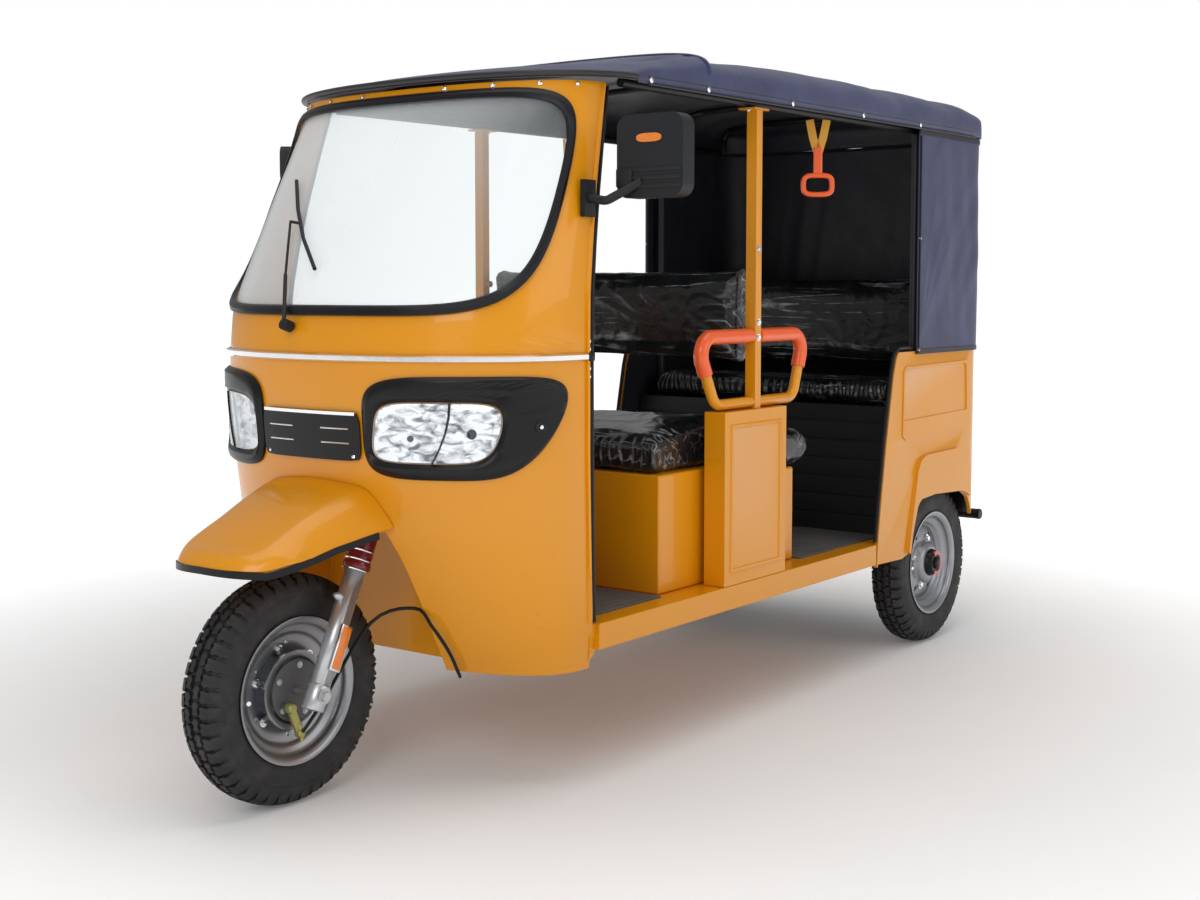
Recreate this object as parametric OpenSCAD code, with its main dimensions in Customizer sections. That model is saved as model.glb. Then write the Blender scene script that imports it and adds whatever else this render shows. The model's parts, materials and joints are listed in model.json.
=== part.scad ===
// Three-wheeled auto rickshaw with an open cab, two facing benches and a canvas top.
// Millimetres. +X is forward, +Y is the left side, +Z is up. The ground is Z = 0.

/* [Wheels] */
// Distance between the front axle and the rear axle
wheelbase = 2333; // [2250:10:2400]
// Outside diameter of the tyres
tyre_d = 514; // [500:2:520]
// Width of a tyre across its sidewalls
tyre_w = 103; // [98:1:106]
// Distance from the centreline to the middle of a rear tyre
rear_track_half = 418; // [414:1:420]

/* [Body] */
// Overall width of the body, without mirrors
body_w = 1000; // [990:2:1010]
// Thickness of the pressed walls
wall = 12; // [8:1:14]
// Height of the floor above the ground
floor_z = 378; // [378:1:380]
// Height of the top of the rear body
waist_z = 945; // [940:1:950]

/* [Canopy] */
// Height of the roof's crown above the ground
roof_z = 1746; // [1740:2:1752]
// Height of the lower edge of the roof canvas
valance_z = 1606; // [1600:1:1608]
// Thickness of the roof canvas
canvas = 4; // [3:0.5:5]

/* [Steering] */
// Backward lean of the front fork, in degrees
rake = 25; // [24:0.5:26]
// Distance between the fork legs
leg_gap = 212; // [210:1:220]
// Half the length of the handlebar
bar_half = 330; // [300:5:350]

/* [Hidden] */
$fn = 64;
x_mid = 1100;
tyre_r = tyre_d / 2;
half_w = body_w / 2;
leg_y = leg_gap / 2;
yellow = [0.86, 0.52, 0.05];
black = [0.05, 0.05, 0.055];
navy = [0.07, 0.08, 0.2];
steel = [0.55, 0.56, 0.58];
orange = [0.9, 0.25, 0.08];
stem_x = wheelbase - 39;
stem_up = [-sin(rake), 0, cos(rake)];

// ---- helpers ----
module placed() translate([-x_mid, 0, 0]) children();
module both() { children(); mirror([0, 1, 0]) children(); }
module box(lo, hi) translate(lo) cube([hi[0] - lo[0], hi[1] - lo[1], hi[2] - lo[2]]);

function unit(v) = v / norm(v);
function spow(v, e) = sign(v) * pow(abs(v), e);
function mix(a, b, k) = a + (b - a) * k;

// turns +Z onto the direction d and moves the origin to p
module aim(p, d) {
    a = unit(d);
    s = abs(a[2]) > 0.9 ? [1, 0, 0] : [0, 0, 1];
    u = unit(cross(s, a));
    v = cross(a, u);
    multmatrix([[u[0], v[0], a[0], p[0]], [u[1], v[1], a[1], p[1]], [u[2], v[2], a[2], p[2]], [0, 0, 0, 1]])
        children();
}
module rod(p, q, d) aim(p, q - p) cylinder(h = norm(q - p), d = d);

// round tube along straight runs joined by bends of radius r; closed loops repeat the first point
function setback(a, b, c, r) = let(u = unit(a - b), v = unit(c - b), t = acos(u * v)) r / tan(t / 2);
module bend(a, b, c, d, r) {
    // a hair thinner than the straight runs, with its ends inside them
    u = unit(a - b);
    v = unit(c - b);
    t = acos(u * v);
    o = b + unit(u + v) * (r / sin(t / 2));
    ax = unit(b + u * (r / tan(t / 2)) - o);
    az = cross(ax, -u);
    e = 40 / r;
    multmatrix([[ax[0], -u[0], az[0], o[0]], [ax[1], -u[1], az[1], o[1]], [ax[2], -u[2], az[2], o[2]],
        [0, 0, 0, 1]])
        rotate([0, 0, -e]) rotate_extrude(angle = 180 - t + 2 * e) translate([r, 0]) circle(d = d - 0.3);
}
module tube(pts, d, r, closed = false) {
    n = len(pts);
    last = closed ? n : n - 1;
    for (i = [0:last - 1]) {
        a = pts[i];
        b = pts[(i + 1) % n];
        before = pts[(i + n - 1) % n];
        after = pts[(i + 2) % n];
        s0 = (closed || i > 0) ? setback(before, a, b, r) : 0;
        s1 = (closed || i < n - 2) ? setback(a, b, after, r) : 0;
        rod(a + unit(b - a) * s0, b - unit(b - a) * s1, d);
        if (closed || i < n - 2) bend(a, b, after, d, r);
    }
}

// ---- curved skins: two grids of points, one above the other, closed along their edges ----
function at(i, j, m) = i * (m + 1) + j;
function quad(a, b, c, d) = [[a, b, c], [a, c, d]];
module shell(top, low, n, m, loop) {
    k = len(top);
    rows = loop ? n : n - 1;
    function w(i) = i % n;
    faces = [for (i = [0:rows - 1], j = [0:m - 1], f = quad(at(i, j, m), at(w(i + 1), j, m),
                at(w(i + 1), j + 1, m), at(i, j + 1, m))) f];
    under = [for (f = faces) [f[2] + k, f[1] + k, f[0] + k]];
    rim0 = [for (i = [0:rows - 1], f = quad(at(w(i + 1), 0, m), at(i, 0, m), at(i, 0, m) + k,
                at(w(i + 1), 0, m) + k)) f];
    rim1 = [for (i = [0:rows - 1], f = quad(at(i, m, m), at(w(i + 1), m, m), at(w(i + 1), m, m) + k,
                at(i, m, m) + k)) f];
    end0 = loop ? [] : [for (j = [0:m - 1], f = quad(at(0, j, m), at(0, j + 1, m), at(0, j + 1, m) + k,
                at(0, j, m) + k)) f];
    end1 = loop ? [] : [for (j = [0:m - 1], f = quad(at(n - 1, j + 1, m), at(n - 1, j, m),
                at(n - 1, j, m) + k, at(n - 1, j + 1, m) + k)) f];
    polyhedron(points = concat(top, low), faces = concat(faces, under, rim0, rim1, end0, end1), convexity = 8);
}

// ---- the nose: a rounded plan curve whose depth and width change with height ----
door_x = [[272, 1835], [350, 1850], [470, 1862], [750, 1868], [990, 1868], [1130, 1863], [1350, 1820],
    [1590, 1752], [1630, 1742]];
nose_x = [[272, 2060], [350, 2108], [470, 2160], [600, 2210], [750, 2240], [900, 2251], [990, 2252],
    [1080, 2240], [1130, 2220], [1350, 2088], [1590, 1944], [1630, 1930]];
cab_w = [[272, -30], [300, -15], [350, -5], [470, 0], [990, 0], [1130, -3], [1350, -20], [1590, -44],
    [1630, -46]];
bulge = 2.3;
function skin(t, z, d = 0) = let(xs = lookup(z, door_x) + 20, x0 = lookup(z, nose_x), w = half_w + lookup(z, cab_w))
    t < 0 ? [xs + t * 20 / 6, w + d, z] :
    t > 180 ? [xs - (t - 180) * 20 / 6, -w - d, z] :
    [xs + (x0 - xs + d) * pow(abs(sin(t)), 2 / bulge), (w + d) * spow(cos(t), 2 / bulge), z];

// a superellipse of power p through the direction of the unit square's edge
function squircle(a, b, p) = abs(a) + abs(b) < 0.001 ? [0, 0] : let(r = max(abs(a), abs(b)), k = pow(pow(abs(a / r), p) + pow(abs(b / r), p), 1 / p))
    [a / k, b / k];
// point i of n, evenly spaced round the square and drawn in to a superellipse of power p
function perim(s) = let(e = floor(s), f = 2 * (s - e) - 1) e == 0 ? [1, f] : e == 1 ? [-f, 1] : e == 2 ? [-1, -f] : [f, -1];
function outline(i, n, p) = let(q = perim(4 * (i % n) / n)) squircle(q[0], q[1], p);
function loop_pt(f, p) = let(c = spow(cos(f), 2 / p), s = spow(sin(f), 2 / p)) [c, s];

// windscreen opening, grown by g
screen_lo = 1085;
screen_hi = 1584;
function screen_uv(c, s, g) = let(zc = (screen_lo + screen_hi) / 2, h = (screen_hi - screen_lo) / 2 + g,
        z = zc + h * s, k = max(0, 1 - (z - screen_lo) / (screen_hi - screen_lo)),
        a = 75 - 15 * k * k * k + g / 5.5) [90 - a * c, z];
// where the seam of the upper and lower nose runs
seam_z = 987;
header_z = 1604;

module lower_nose() {
    n = 65;
    m = 10;
    function uv(i, j) = let(f = 180 * i / (n - 1), q = loop_pt(f, 3.2), k = max(abs(q[0]), abs(q[1])),
            z_in = 272 + 416 * q[1], a_in = 25 - 3 * q[1],
            inner = [90 - a_in * q[0], z_in],
            outer = [90 - 96 * q[0] / k, 272 + (seam_z - 1 - 272) * q[1] / k])
        [mix(inner[0], outer[0], pow(j / m, 0.9)), mix(inner[1], outer[1], pow(j / m, 0.9))];
    top = [for (i = [0:n - 1], j = [0:m]) skin(uv(i, j)[0], uv(i, j)[1], 0)];
    low = [for (i = [0:n - 1], j = [0:m]) skin(uv(i, j)[0], uv(i, j)[1], -8)];
    shell(top, low, n, m, false);
}

module upper_nose() {
    n = 80;
    m = 5;
    function uv(i, j) = let(q = outline(i, n, 5.5), k = max(abs(q[0]), abs(q[1])),
            zc = (seam_z + header_z) / 2, h = (header_z - seam_z) / 2,
            inner = screen_uv(q[0], q[1], -6),
            outer = [90 - 96 * q[0] / k, zc + h * q[1] / k])
        [mix(inner[0], outer[0], j / m), mix(inner[1], outer[1], j / m)];
    top = [for (i = [0:n - 1], j = [0:m]) skin(uv(i, j)[0], uv(i, j)[1], 0)];
    low = [for (i = [0:n - 1], j = [0:m]) skin(uv(i, j)[0], uv(i, j)[1], -8)];
    shell(top, low, n, m, true);
}

module pane(n, m, d0, d1, g) {
    function uv(i, j) = let(q = squircle(2 * i / (n - 1) - 1, 2 * j / m - 1, 5.5)) screen_uv(q[0], q[1], g);
    top = [for (i = [0:n - 1], j = [0:m]) skin(uv(i, j)[0], uv(i, j)[1], d1)];
    low = [for (i = [0:n - 1], j = [0:m]) skin(uv(i, j)[0], uv(i, j)[1], d0)];
    shell(low, top, n, m, false);
}

module screen_seal() {
    n = 96;
    function row(g, d) = [for (i = [0:n - 1]) let(q = outline(i, n, 5.5), u = screen_uv(q[0], q[1], g))
        skin(u[0], u[1], d)];
    // five points round the section, all in front of the panel
    rows = [row(-17, 1.5), row(-15, 9), row(-5, 13), row(5, 9), row(7, 1.5)];
    pts = [for (r = rows, q = r) q];
    s = len(rows);
    polyhedron(points = pts, convexity = 8, faces = [for (r = [0:s - 1], i = [0:n - 1],
        f = quad(r * n + (i + 1) % n, ((r + 1) % s) * n + (i + 1) % n, ((r + 1) % s) * n + i, r * n + i)) f]);
}

// ---- lamps and grille, laid on the nose ----
function bezel_uv(c, s, g) = let(b = s, right = 11.5 - 11.5 * b + 6 * b * b - g / 6, left = 74.5 + g / 6)
    [mix(left, right, (c + 1) / 2), 838 + (112 + g) * b];
function lens_uv(c, s, g) = let(b = s, right = 32.5 - 3 * b + 2.5 * b * b - g / 6, left = 71.5 - 1.2 * b + g / 6)
    [mix(left, right, (c + 1) / 2), 828 + (67 + g) * b];
module bezel() {
    n = 48;
    // kind runs from 0 on the outer edge to 1 on the edge of the lens
    function row(kind, g, d) = [for (i = [0:n - 1]) let(q = outline(i, n, 5), a = bezel_uv(q[0], q[1], g),
            b = lens_uv(q[0], q[1], g), u = mix(a, b, kind)) skin(u[0], u[1], d)];
    rows = [row(0, 0, 1.5), row(0, 0, 6), row(0, -8, 14), row(0.5, 0, 15), row(1, 8, 14), row(1, 1, 7), row(1, 1, 1.5),
        row(0.75, 1, 1.5), row(0.5, 1, 1.5), row(0.25, 0, 1.5)];
    pts = [for (r = rows, q = r) q];
    s = len(rows);
    polyhedron(points = pts, convexity = 8, faces = [for (r = [0:s - 1], i = [0:n - 1],
        f = quad(r * n + i, ((r + 1) % s) * n + i, ((r + 1) % s) * n + (i + 1) % n, r * n + (i + 1) % n)) f]);
}
module lens() {
    n = 11;
    m = 8;
    function uv(i, j) = let(q = squircle(2 * i / (n - 1) - 1, 2 * j / m - 1, 5)) lens_uv(q[0], q[1], -0.5);
    top = [for (i = [0:n - 1], j = [0:m]) skin(uv(i, j)[0], uv(i, j)[1], 8)];
    low = [for (i = [0:n - 1], j = [0:m]) skin(uv(i, j)[0], uv(i, j)[1], 1.2)];
    shell(low, top, n, m, false);
}
module grille() {
    n = 13;
    m = 6;
    function uv(i, j) = let(q = squircle(2 * i / (n - 1) - 1, 2 * j / m - 1, 12)) [90 - 14.6 * q[0], 815 + 54 * q[1]];
    top = [for (i = [0:n - 1], j = [0:m]) skin(uv(i, j)[0], uv(i, j)[1], 8)];
    low = [for (i = [0:n - 1], j = [0:m]) skin(uv(i, j)[0], uv(i, j)[1], 1)];
    shell(low, top, n, m, false);
}
module belt_strip() {
    n = 61;
    function row(z, d) = [for (i = [0:n - 1]) skin(-1 + 182 * i / (n - 1), seam_z + z, d)];
    top = [for (i = [0:n - 1], j = [0:3]) skin(-1 + 182 * i / (n - 1), seam_z + [-9, -5, 5, 9][j], [3, 9, 9, 3][j])];
    low = [for (i = [0:n - 1], j = [0:3]) skin(-1 + 182 * i / (n - 1), seam_z + [-9, -5, 5, 9][j], 1)];
    shell(top, low, n, 3, false);
}

// ---- front fender: an arched hood fixed to the nose, over the wheel ----
fender_tip = 2556;
function nose_front(y, z) = let(xs = lookup(z, door_x) + 20, w = half_w + lookup(z, cab_w))
    xs + (lookup(z, nose_x) - xs) * pow(1 - pow(abs(y) / w, bulge), 1 / bulge);
function fender_side(a) = a < 0.72 ? 1 - 0.16 * pow(a / 0.72, 2) : 0.84 * (1 - pow((a - 0.72) / 0.28, 1.3));
fender_half = [[2200, 208], [2400, 172]];
fender_low = [[2200, 616], [2346, 588], [2500, 545], [fender_tip, 548]];
fender_rise = [[2200, 114], [2260, 111], [2350, 88], [2430, 72], [2500, 55], [fender_tip, 40]];
function fender_pt(u, v, g) = let(
        a = abs(v),
        x0 = nose_front(208 * v, 616 + 114 * fender_side(a)) + 1.5,
        x1 = 2400 + (fender_tip - 2400 + g) * sqrt(max(0, 1 - pow(a, 2.6))),
        x = mix(x0, x1, u),
        side = max(0.5, lookup(x, fender_rise) * fender_side(a)),
        front = 10 + 62 * (1 - exp((x - x1) / 35)) + 0.28 * (x1 - x),
        rise = pow(pow(side, -4) + pow(front, -4), -1 / 4))
    [x, (lookup(x, fender_half) + g) * v, lookup(x, fender_low) + rise + g];
module fender() {
    n = 23;
    m = 24;
    function u(i) = 1 - pow(1 - i / (n - 1), 1.4);
    function v(j) = sin(90 * (2 * j / m - 1));
    top = [for (i = [0:n - 1], j = [0:m]) fender_pt(u(i), v(j), 0)];
    low = [for (i = [0:n - 1], j = [0:m]) fender_pt(u(i), v(j), -4)];
    shell(low, top, n, m, false);
}

// ---- canopy roof: a boxy section over straight bows, rounded down at the front edge and at the tail ----
roof_tail = -324;
roof_half = half_w + 10;
tail_r = 130;
ridge = [[-323, 95], [-100, 112], [250, 108], [745, 113], [964, 110], [1166, 103], [1384, 101], [1398, 131], [1485, 114],
    [1609, 86], [1766, 68], [1949, 60]];
front_rise = [[0, 13], [40, 26], [120, 52], [250, 82], [400, 112], [600, 150], [900, 200], [1200, 230], [2400, 300]];
tail_rise = [[0, 4], [2, 40], [7, 66], [21, 86], [45, 104], [85, 122], [145, 142], [225, 165], [465, 215], [3000, 300]];
function roof_front(v, d = 0) = 1697 + (252 + d) * pow(max(0, 1 - pow(abs(v), 2.2)), 1 / 2.2);
function roof_back(v, d = 0) = let(r = tail_r + d, e = max(0, (roof_half + d) * abs(v) - roof_half - d + r))
    roof_tail - d + r - sqrt(max(0, r * r - e * e));
function hem(x) = valance_z + 16 * min(1, max(0, (1700 - x) / 1700)) - 3;
function roof_high(x, v, d = 0) = let(
        side = lookup(x, ridge) * pow(max(1e-6, 1 - pow(abs(v), 9)), 1 / 4) + lookup(x, [[1100, 40], [1390, 2]]) * (1 - v * v),
        front = lookup(roof_front(v, d) - x, front_rise),
        back = lookup(x - roof_back(v, d), tail_rise),
        rise = pow(pow(side, -4) + pow(front, -4) + pow(back, -4), -1 / 4))
    hem(x) + rise * (roof_z - valance_z) / 140 + d;
// k runs 0 to 1 over the tail, 1 to 2 along the bows and 2 to 3 over the front
roof_a = -60;
roof_b = 1500;
function roof_pt(k, a, d) = let(v = sin(a),
        x = k < 1 ? mix(roof_back(v, d), roof_a, k) : k < 2 ? mix(roof_a, roof_b, k - 1) : mix(roof_b, roof_front(v, d), k - 2))
    [x, (roof_half + d) * v, roof_high(x, v, d)];
module roof() {
    ks = concat([0, 0.0076, 0.0266, 0.08, 0.17, 0.32, 0.55, 0.8],
        [for (x = [roof_a, 250, 500, 745, 964, 1166, 1300, 1384, 1398, 1440]) 1 + (x - roof_a) / (roof_b - roof_a)],
        [2, 2.25, 2.5, 2.7, 2.85, 2.93, 2.975, 3]);
    n = len(ks);
    m = 32;
    function a(j) = 180 * j / m - 90;
    top = [for (i = [0:n - 1], j = [0:m]) roof_pt(ks[i], -a(j), 0)];
    low = [for (i = [0:n - 1], j = [0:m]) roof_pt(ks[i], -a(j), -canvas)];
    shell(top, low, n, m, false);
}

// ---- rear body plan: a U with round corners ----
tail_x = -314;
corner_r = 120;
module plan_block(g, x1) {
    translate([tail_x - g, -half_w - g]) difference() {
        square([x1 - tail_x + g, body_w + 2 * g]);
        for (s = [0, 1]) translate([0, s * (body_w + 2 * g)]) mirror([0, s]) difference() {
            translate([-1, -1]) square([corner_r + g + 1, corner_r + g + 1]);
            translate([corner_r + g, corner_r + g]) circle(r = corner_r + g);
        }
    }
}
module plan_wall(g, t, x1) difference() {
    plan_block(g, x1);
    difference() {
        plan_block(g - t, x1 + 10);
    }
}
module side_cut(pts) rotate([90, 0, 0]) linear_extrude(height = 1400, center = true) polygon(pts);

module rear_shell() {
    difference() {
        translate([0, 0, 309]) linear_extrude(height = waist_z - 309) plan_wall(0, wall, 470);
        // sloping front edge with a round top
        difference() {
            side_cut([[500, 290], [500, 980], [200, 980], [250, 951], [318, 951], [334, 942], [344, 928], [362, 880],
                [406, 672], [440, 470], [452, 384], [458, 300]]);
        }
        // bottom line and wheel arches
        side_cut([[452, 295], [452, 317], [290, 312], [250, 322], [236, 388], [206, 462], [193, 476], [176, 485], [80, 491],
            [-120, 481], [-150, 474], [-186, 454], [-222, 405], [-234, 391], [-400, 388], [-400, 295]]);
        // holes for the number plate
        for (s = [-1, 1]) translate([tail_x - 5, s * 100, 640]) rotate([0, 90, 0]) cylinder(h = 40, r = 3.5);
    }
}
module arch_flare() both() difference() {
    translate([0, half_w + 11, 0]) rotate([90, 0, 0]) linear_extrude(height = 11.02) difference() {
        polygon([[262, 330], [248, 400], [206, 574], [186, 605], [148, 620], [-76, 624], [-108, 612], [-188, 556],
            [-188, 458], [-150, 474], [-120, 481], [80, 491], [176, 485], [193, 476], [206, 462], [236, 388],
            [250, 322]]);
    }
    translate([0, half_w + 30, 700]) rotate([45, 0, 0]) translate([0, 0, 55]) cube([900, 60, 60], center = true);
}
module side_emboss() both() translate([0, half_w + 4, 0]) rotate([90, 0, 0]) linear_extrude(height = 4.02)
    difference() {
        polygon([[300, 888], [286, 900], [-148, 905], [-162, 893], [-172, 700], [-160, 686], [286, 676], [304, 690]]);
        polygon([[292, 880], [278, 891], [-142, 896], [-154, 886], [-162, 744], [296, 736]]);
    }

// ---- wheels ----
module tyre_solid() rotate([90, 0, 0]) rotate_extrude() polygon(concat(
    [[153, -40], [166, -46], [182, -49.5], [206, -tyre_w / 2], [226, -50], [240, -46], [249, -40], [254, -28],
        [tyre_r, 0]],
    [[254, 28], [249, 40], [240, 46], [226, 50], [206, tyre_w / 2], [182, 49.5], [166, 46], [153, 40]]));
module rim_barrel() rotate([90, 0, 0]) rotate_extrude() polygon([[152.5, -40.5], [164, -46.5], [164, -50], [160, -50],
    [148, -43], [146, -28], [124, -18], [124, 18], [146, 28], [148, 43], [160, 50], [164, 50], [164, 46.5],
    [152.5, 40.5], [152.5, 30], [130, 15], [130, -15], [152.5, -30]]);
module front_wheel_rim() {
    rim_barrel();
    rotate([-90, 0, 0]) difference() {
        union() {
            rotate_extrude() polygon([[12, -34], [84, -34], [84, -8], [104, 4], [125, 8], [125, 14], [100, 10], [80, -2],
                [80, 32], [88, 32], [88, 38], [74, 38], [74, -28], [30, -28], [30, 30], [12, 30]]);
        }
        translate([0, 0, -40]) cylinder(h = 80, r = 8.05);
        for (a = [0:60:300]) rotate([0, 0, a + 30]) translate([103, 0, -40]) cylinder(h = 80, r = 5);
    }
}
module rear_wheel_rim() {
    // the outside of the wheel faces +Y
    rim_barrel();
    rotate([-90, 0, 0]) difference() {
        rotate_extrude() polygon([[0, 44], [24, 44], [56, 40], [66, 30], [66, 16], [84, 14], [104, 10], [125, 2],
            [125, -5], [100, 4], [66, 8], [40, 8], [40, -30], [0, -30]]);
        translate([0, 0, -40]) cylinder(h = 62, r = 15.05);
        for (a = [0:60:300]) rotate([0, 0, a]) translate([95, 0, -40]) cylinder(h = 80, r = 8);
    }
}

// ---- the sub-parts ----
module chassis_frame() color(black) placed() {
    // two rails and their cross-members
    for (s = [-1, 1]) box([-300, s * 250 - 25, 318], [1960, s * 250 + 25, 364]);
    for (x = [-300, 430, 1080, 1700]) box([x, -225, 322], [x + 40, 225, 360]);
    // head tube and its braces, behind the wheel well
    difference() {
        union() {
            aim([stem_x, 0, tyre_r] + stem_up * 470, stem_up) cylinder(h = 210, d = 60);
            box([1925, -20, 322], [1958, 20, 860]);
            box([1925, -225, 322], [1960, 225, 360]);
            box([1940, -20, 820], [2010, 20, 850]);
        }
        aim([stem_x, 0, tyre_r] + stem_up * 400, stem_up) cylinder(h = 400, r = 15.05);
    }
}

module floor_pan() color(yellow) placed() {
    // pan between the sills, open over the rear axle
    difference() {
        union() {
            box([302, -448, floor_z - 12], [1972, 448, floor_z]);
            box([302, -485, floor_z - 12], [470, 485, floor_z]);
        }
        box([1920, -25, floor_z - 20], [1963, 25, floor_z + 10]);
    }
    both() difference() {
        box([462, 448, 317], [1833, half_w, floor_z]);
        box([466, 440, 321], [1829, half_w - 6, floor_z - 6]);
    }
}

module nose_panel() color(yellow) placed() lower_nose();

module windscreen_surround() color(yellow) placed() upper_nose();

module windscreen() color([0.8, 0.86, 0.88, 0.3]) placed() pane(15, 12, -7, -2, -9);

edge_z = [384, 470, 600, 990, 1130, 1350, 1598];
function edge_pt(z) = [lookup(z, door_x) - 7.6, half_w + lookup(z, cab_w) - 4, z];
module edging() {
    k = 12;
    n = len(edge_z);
    pts = [for (z = edge_z, j = [0:k - 1]) edge_pt(z) + [7 * cos(30 * j), 6 * sin(30 * j), 0]];
    polyhedron(points = pts, faces = concat(
        [for (i = [0:n - 2], j = [0:k - 1], f = quad(i * k + j, (i + 1) * k + j, (i + 1) * k + (j + 1) % k,
            i * k + (j + 1) % k)) f],
        [[for (j = [0:k - 1]) j]], [[for (j = [0:k - 1]) n * k - 1 - j]]));
}
module rubber_seals() color(black) placed() {
    screen_seal();
    // edging of the door openings, on the cab side
    both() edging();
    // edging of the rear body's front edge
    both() {
        tube([[461, 494, 386], [449, 494, 470], [416, 494, 672], [372, 494, 880], [352, 494, 940],
            [322, 494, 958], [232, 494, 958]], 12, 14);
    }
}

module chrome_strip() color([0.8, 0.8, 0.82]) placed() belt_strip();

module headlamp_bezels() color(black) placed() both() bezel();

module headlamp_lenses() color([0.85, 0.87, 0.9]) placed() both() lens();

module grille_panel() color(black) placed() grille();

module front_fender() color(yellow) placed() fender();

module wheel_well() color(yellow) placed() {
    difference() {
        box([1976, -222, 280], [2190, 222, 702]);
        box([1986, -212, 270], [2200, 212, 692]);
        // follows the inside of the nose
        rotate([90, 0, 0]) linear_extrude(height = 600, center = true)
            polygon([[2034, 270], [2044, 300], [2076, 350], [2120, 470], [2151, 560], [2165, 620], [2174, 710],
                [2300, 710], [2300, 270]]);
        // passage for the steering stem
        aim([stem_x, 0, tyre_r] + stem_up * 380, stem_up) cylinder(h = 220, r = 42);
    }
}

module dashboard() color(black) placed() {
    difference() {
        translate([0, 0, 1000]) linear_extrude(height = 46) intersection() {
            polygon([for (i = [0:36]) let(p = skin(5 * i, 1046, -13)) [p[0], p[1]]]);
            translate([2092, -600]) square([400, 1200]);
        }
        translate([0, 0, 990]) linear_extrude(height = 40) intersection() {
            polygon([for (i = [0:36]) let(p = skin(5 * i, 1046, -25)) [p[0], p[1]]]);
            translate([2102, -360]) square([400, 720]);
        }
    }
    translate([2096, 0, 1045]) box([0, -90, 0], [76, 90, 27]);
}

module wiper() color(black) placed() {
    foot = skin(94.3, 1050, 0);
    knee = skin(99.8, 1169, 19);
    head = skin(108.6, 1294, 17);
    blade = [for (k = [0:3]) skin(mix(118.4, 92.2, k / 3), mix(1396, 1182, k / 3), 8)];
    aim(foot + [7, 0, 2], [1, 0, 0.35]) cylinder(h = 24, d = 26);
    rod(foot + [27, 0, 9], knee, 9);
    rod(knee, head, 6);
    rod(head, mix(blade[1], blade[2], 0.5), 7);
    tube(blade, 9, 120);
}

// a mirror case with its glass facing back, and round corners of radius r
module mirror_case(w, h, t, r) rotate([90, 0, 90]) translate([0, 0, -t / 2]) linear_extrude(height = t)
    hull() for (sx = [-1, 1], sy = [-1, 1]) translate([sx * (w / 2 - r), sy * (h / 2 - r)]) circle(r = r, $fn = 32);
module mirrors() color(black) placed() {
    // brackets on the door pillars, arms and heads; the right one is small and turned to the driver
    both() box([1846, 486, 1296], [1886, 499, 1378]);
    tube([[1866, 490, 1338], [1862, 540, 1330], [1822, 606, 1372]], 20, 22);
    translate([1804, 630, 1427]) mirror_case(176, 182, 44, 30);
    tube([[1866, -490, 1338], [1856, -532, 1336], [1716, -643, 1431]], 16, 14);
    translate([1711, -643, 1471]) rotate([0, 0, -52]) mirror_case(123, 96, 33, 27);
}

module seat_box() color(yellow) placed() difference() {
    rotate([90, 0, 0]) linear_extrude(height = 840, center = true)
        polygon([[820, floor_z + 0.5], [820, 640], [1116, 640], [1116, 677], [1482, 677], [1482, floor_z + 0.5]]);
    rotate([90, 0, 0]) linear_extrude(height = 816, center = true)
        polygon([[832, 300], [832, 628], [1128, 628], [1128, 665], [1470, 665], [1470, 300]]);
}

module driver_cushion() color(black) placed() rotate([90, 0, 0]) linear_extrude(height = 850, center = true)
    cushion_profile([1122, 679], [1506, 679], [1506, 765], [1122, 805], 22);

// a four-cornered outline with round corners of radius r
module cushion_profile(a, b, c, d, r) hull()
    for (p = [a + [r, r], b + [-r, r], c + [-r, -r], d + [r, -r]]) translate(p) circle(r = r, $fn = 32);

module front_backrest() color(black) placed() rotate([90, 0, 0]) linear_extrude(height = 884, center = true)
    cushion_profile([1052, 930], [1136, 930], [1130, 1206], [1046, 1206], 26);

module side_panels() color(yellow) placed() both() difference() {
    union() {
        box([997, 436, floor_z + 0.5], [1303, 499, 825]);
        box([1024, 498, floor_z + 34], [1276, 502, 792]);
    }
    box([1034, 499, floor_z + 44], [1266, 510, 782]);
    box([1001, 440, floor_z - 10], [1299, 495, 821]);
}

hoop = [[1306, 468, 842], [1398, 468, 1015], [856, 468, 1015], [914, 468, 842]];
module door_posts() color(yellow) placed() both() {
    box([1106, 453, 825.5], [1134, 483, 1597]);
    box([1085, 440, 1597], [1155, 490, 1602]);
    for (z = [985, 1150]) rod([1112, 455, z], [1112, 442.4, z], 18);
    tube(hoop, 28, 44, true);
    // post behind the rear doorway
    rod([180, 472, 777], [180, 472, 1605], 24);
}

// sleeves along the top of the hoop and round its upper corners
sleeves = [[[1139, 468, 1015], hoop[1], [1349, 468, 922]], [[1101, 468, 1015], hoop[2], [886, 468, 925]]];
function longer(run, e) = [run[0] + unit(run[0] - run[1]) * e, run[1], run[2] + unit(run[2] - run[1]) * e];
module hoop_grips() color(orange) placed() both() for (run = sleeves) difference() {
    tube(run, 38, 44);
    tube(longer(run, 10), 28.9, 44);
}

module facing_cushion() color(black) placed() rotate([90, 0, 0]) linear_extrude(height = 830, center = true)
    cushion_profile([676, 642], [1040, 642], [1040, 742], [676, 736], 34);

module rear_bench_base() color(black) placed() difference() {
    box([-296, -484, floor_z + 0.5], [290, 484, 775]);
    box([-284, -333, 300], [278, 333, 763]);
    both() box([-330, 345, 300], [276, 500, 560]);
    both() translate([tail_x, half_w, 0]) translate([0, 0, 300]) difference() {
        translate([-10, -corner_r + 0, 0]) cube([corner_r + 10, corner_r + 10, 600]);
        translate([corner_r, -corner_r, -1]) cylinder(h = 700, r = corner_r - wall - 3);
    }
    for (z = [430:58:730]) box([287, -480, z], [300, 480, z + 6]);
}

module rear_cushion() color(black) placed() rotate([90, 0, 0]) linear_extrude(height = 900, center = true)
    cushion_profile([-60, 777], [296, 777], [296, 858], [-60, 846], 28);

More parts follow.
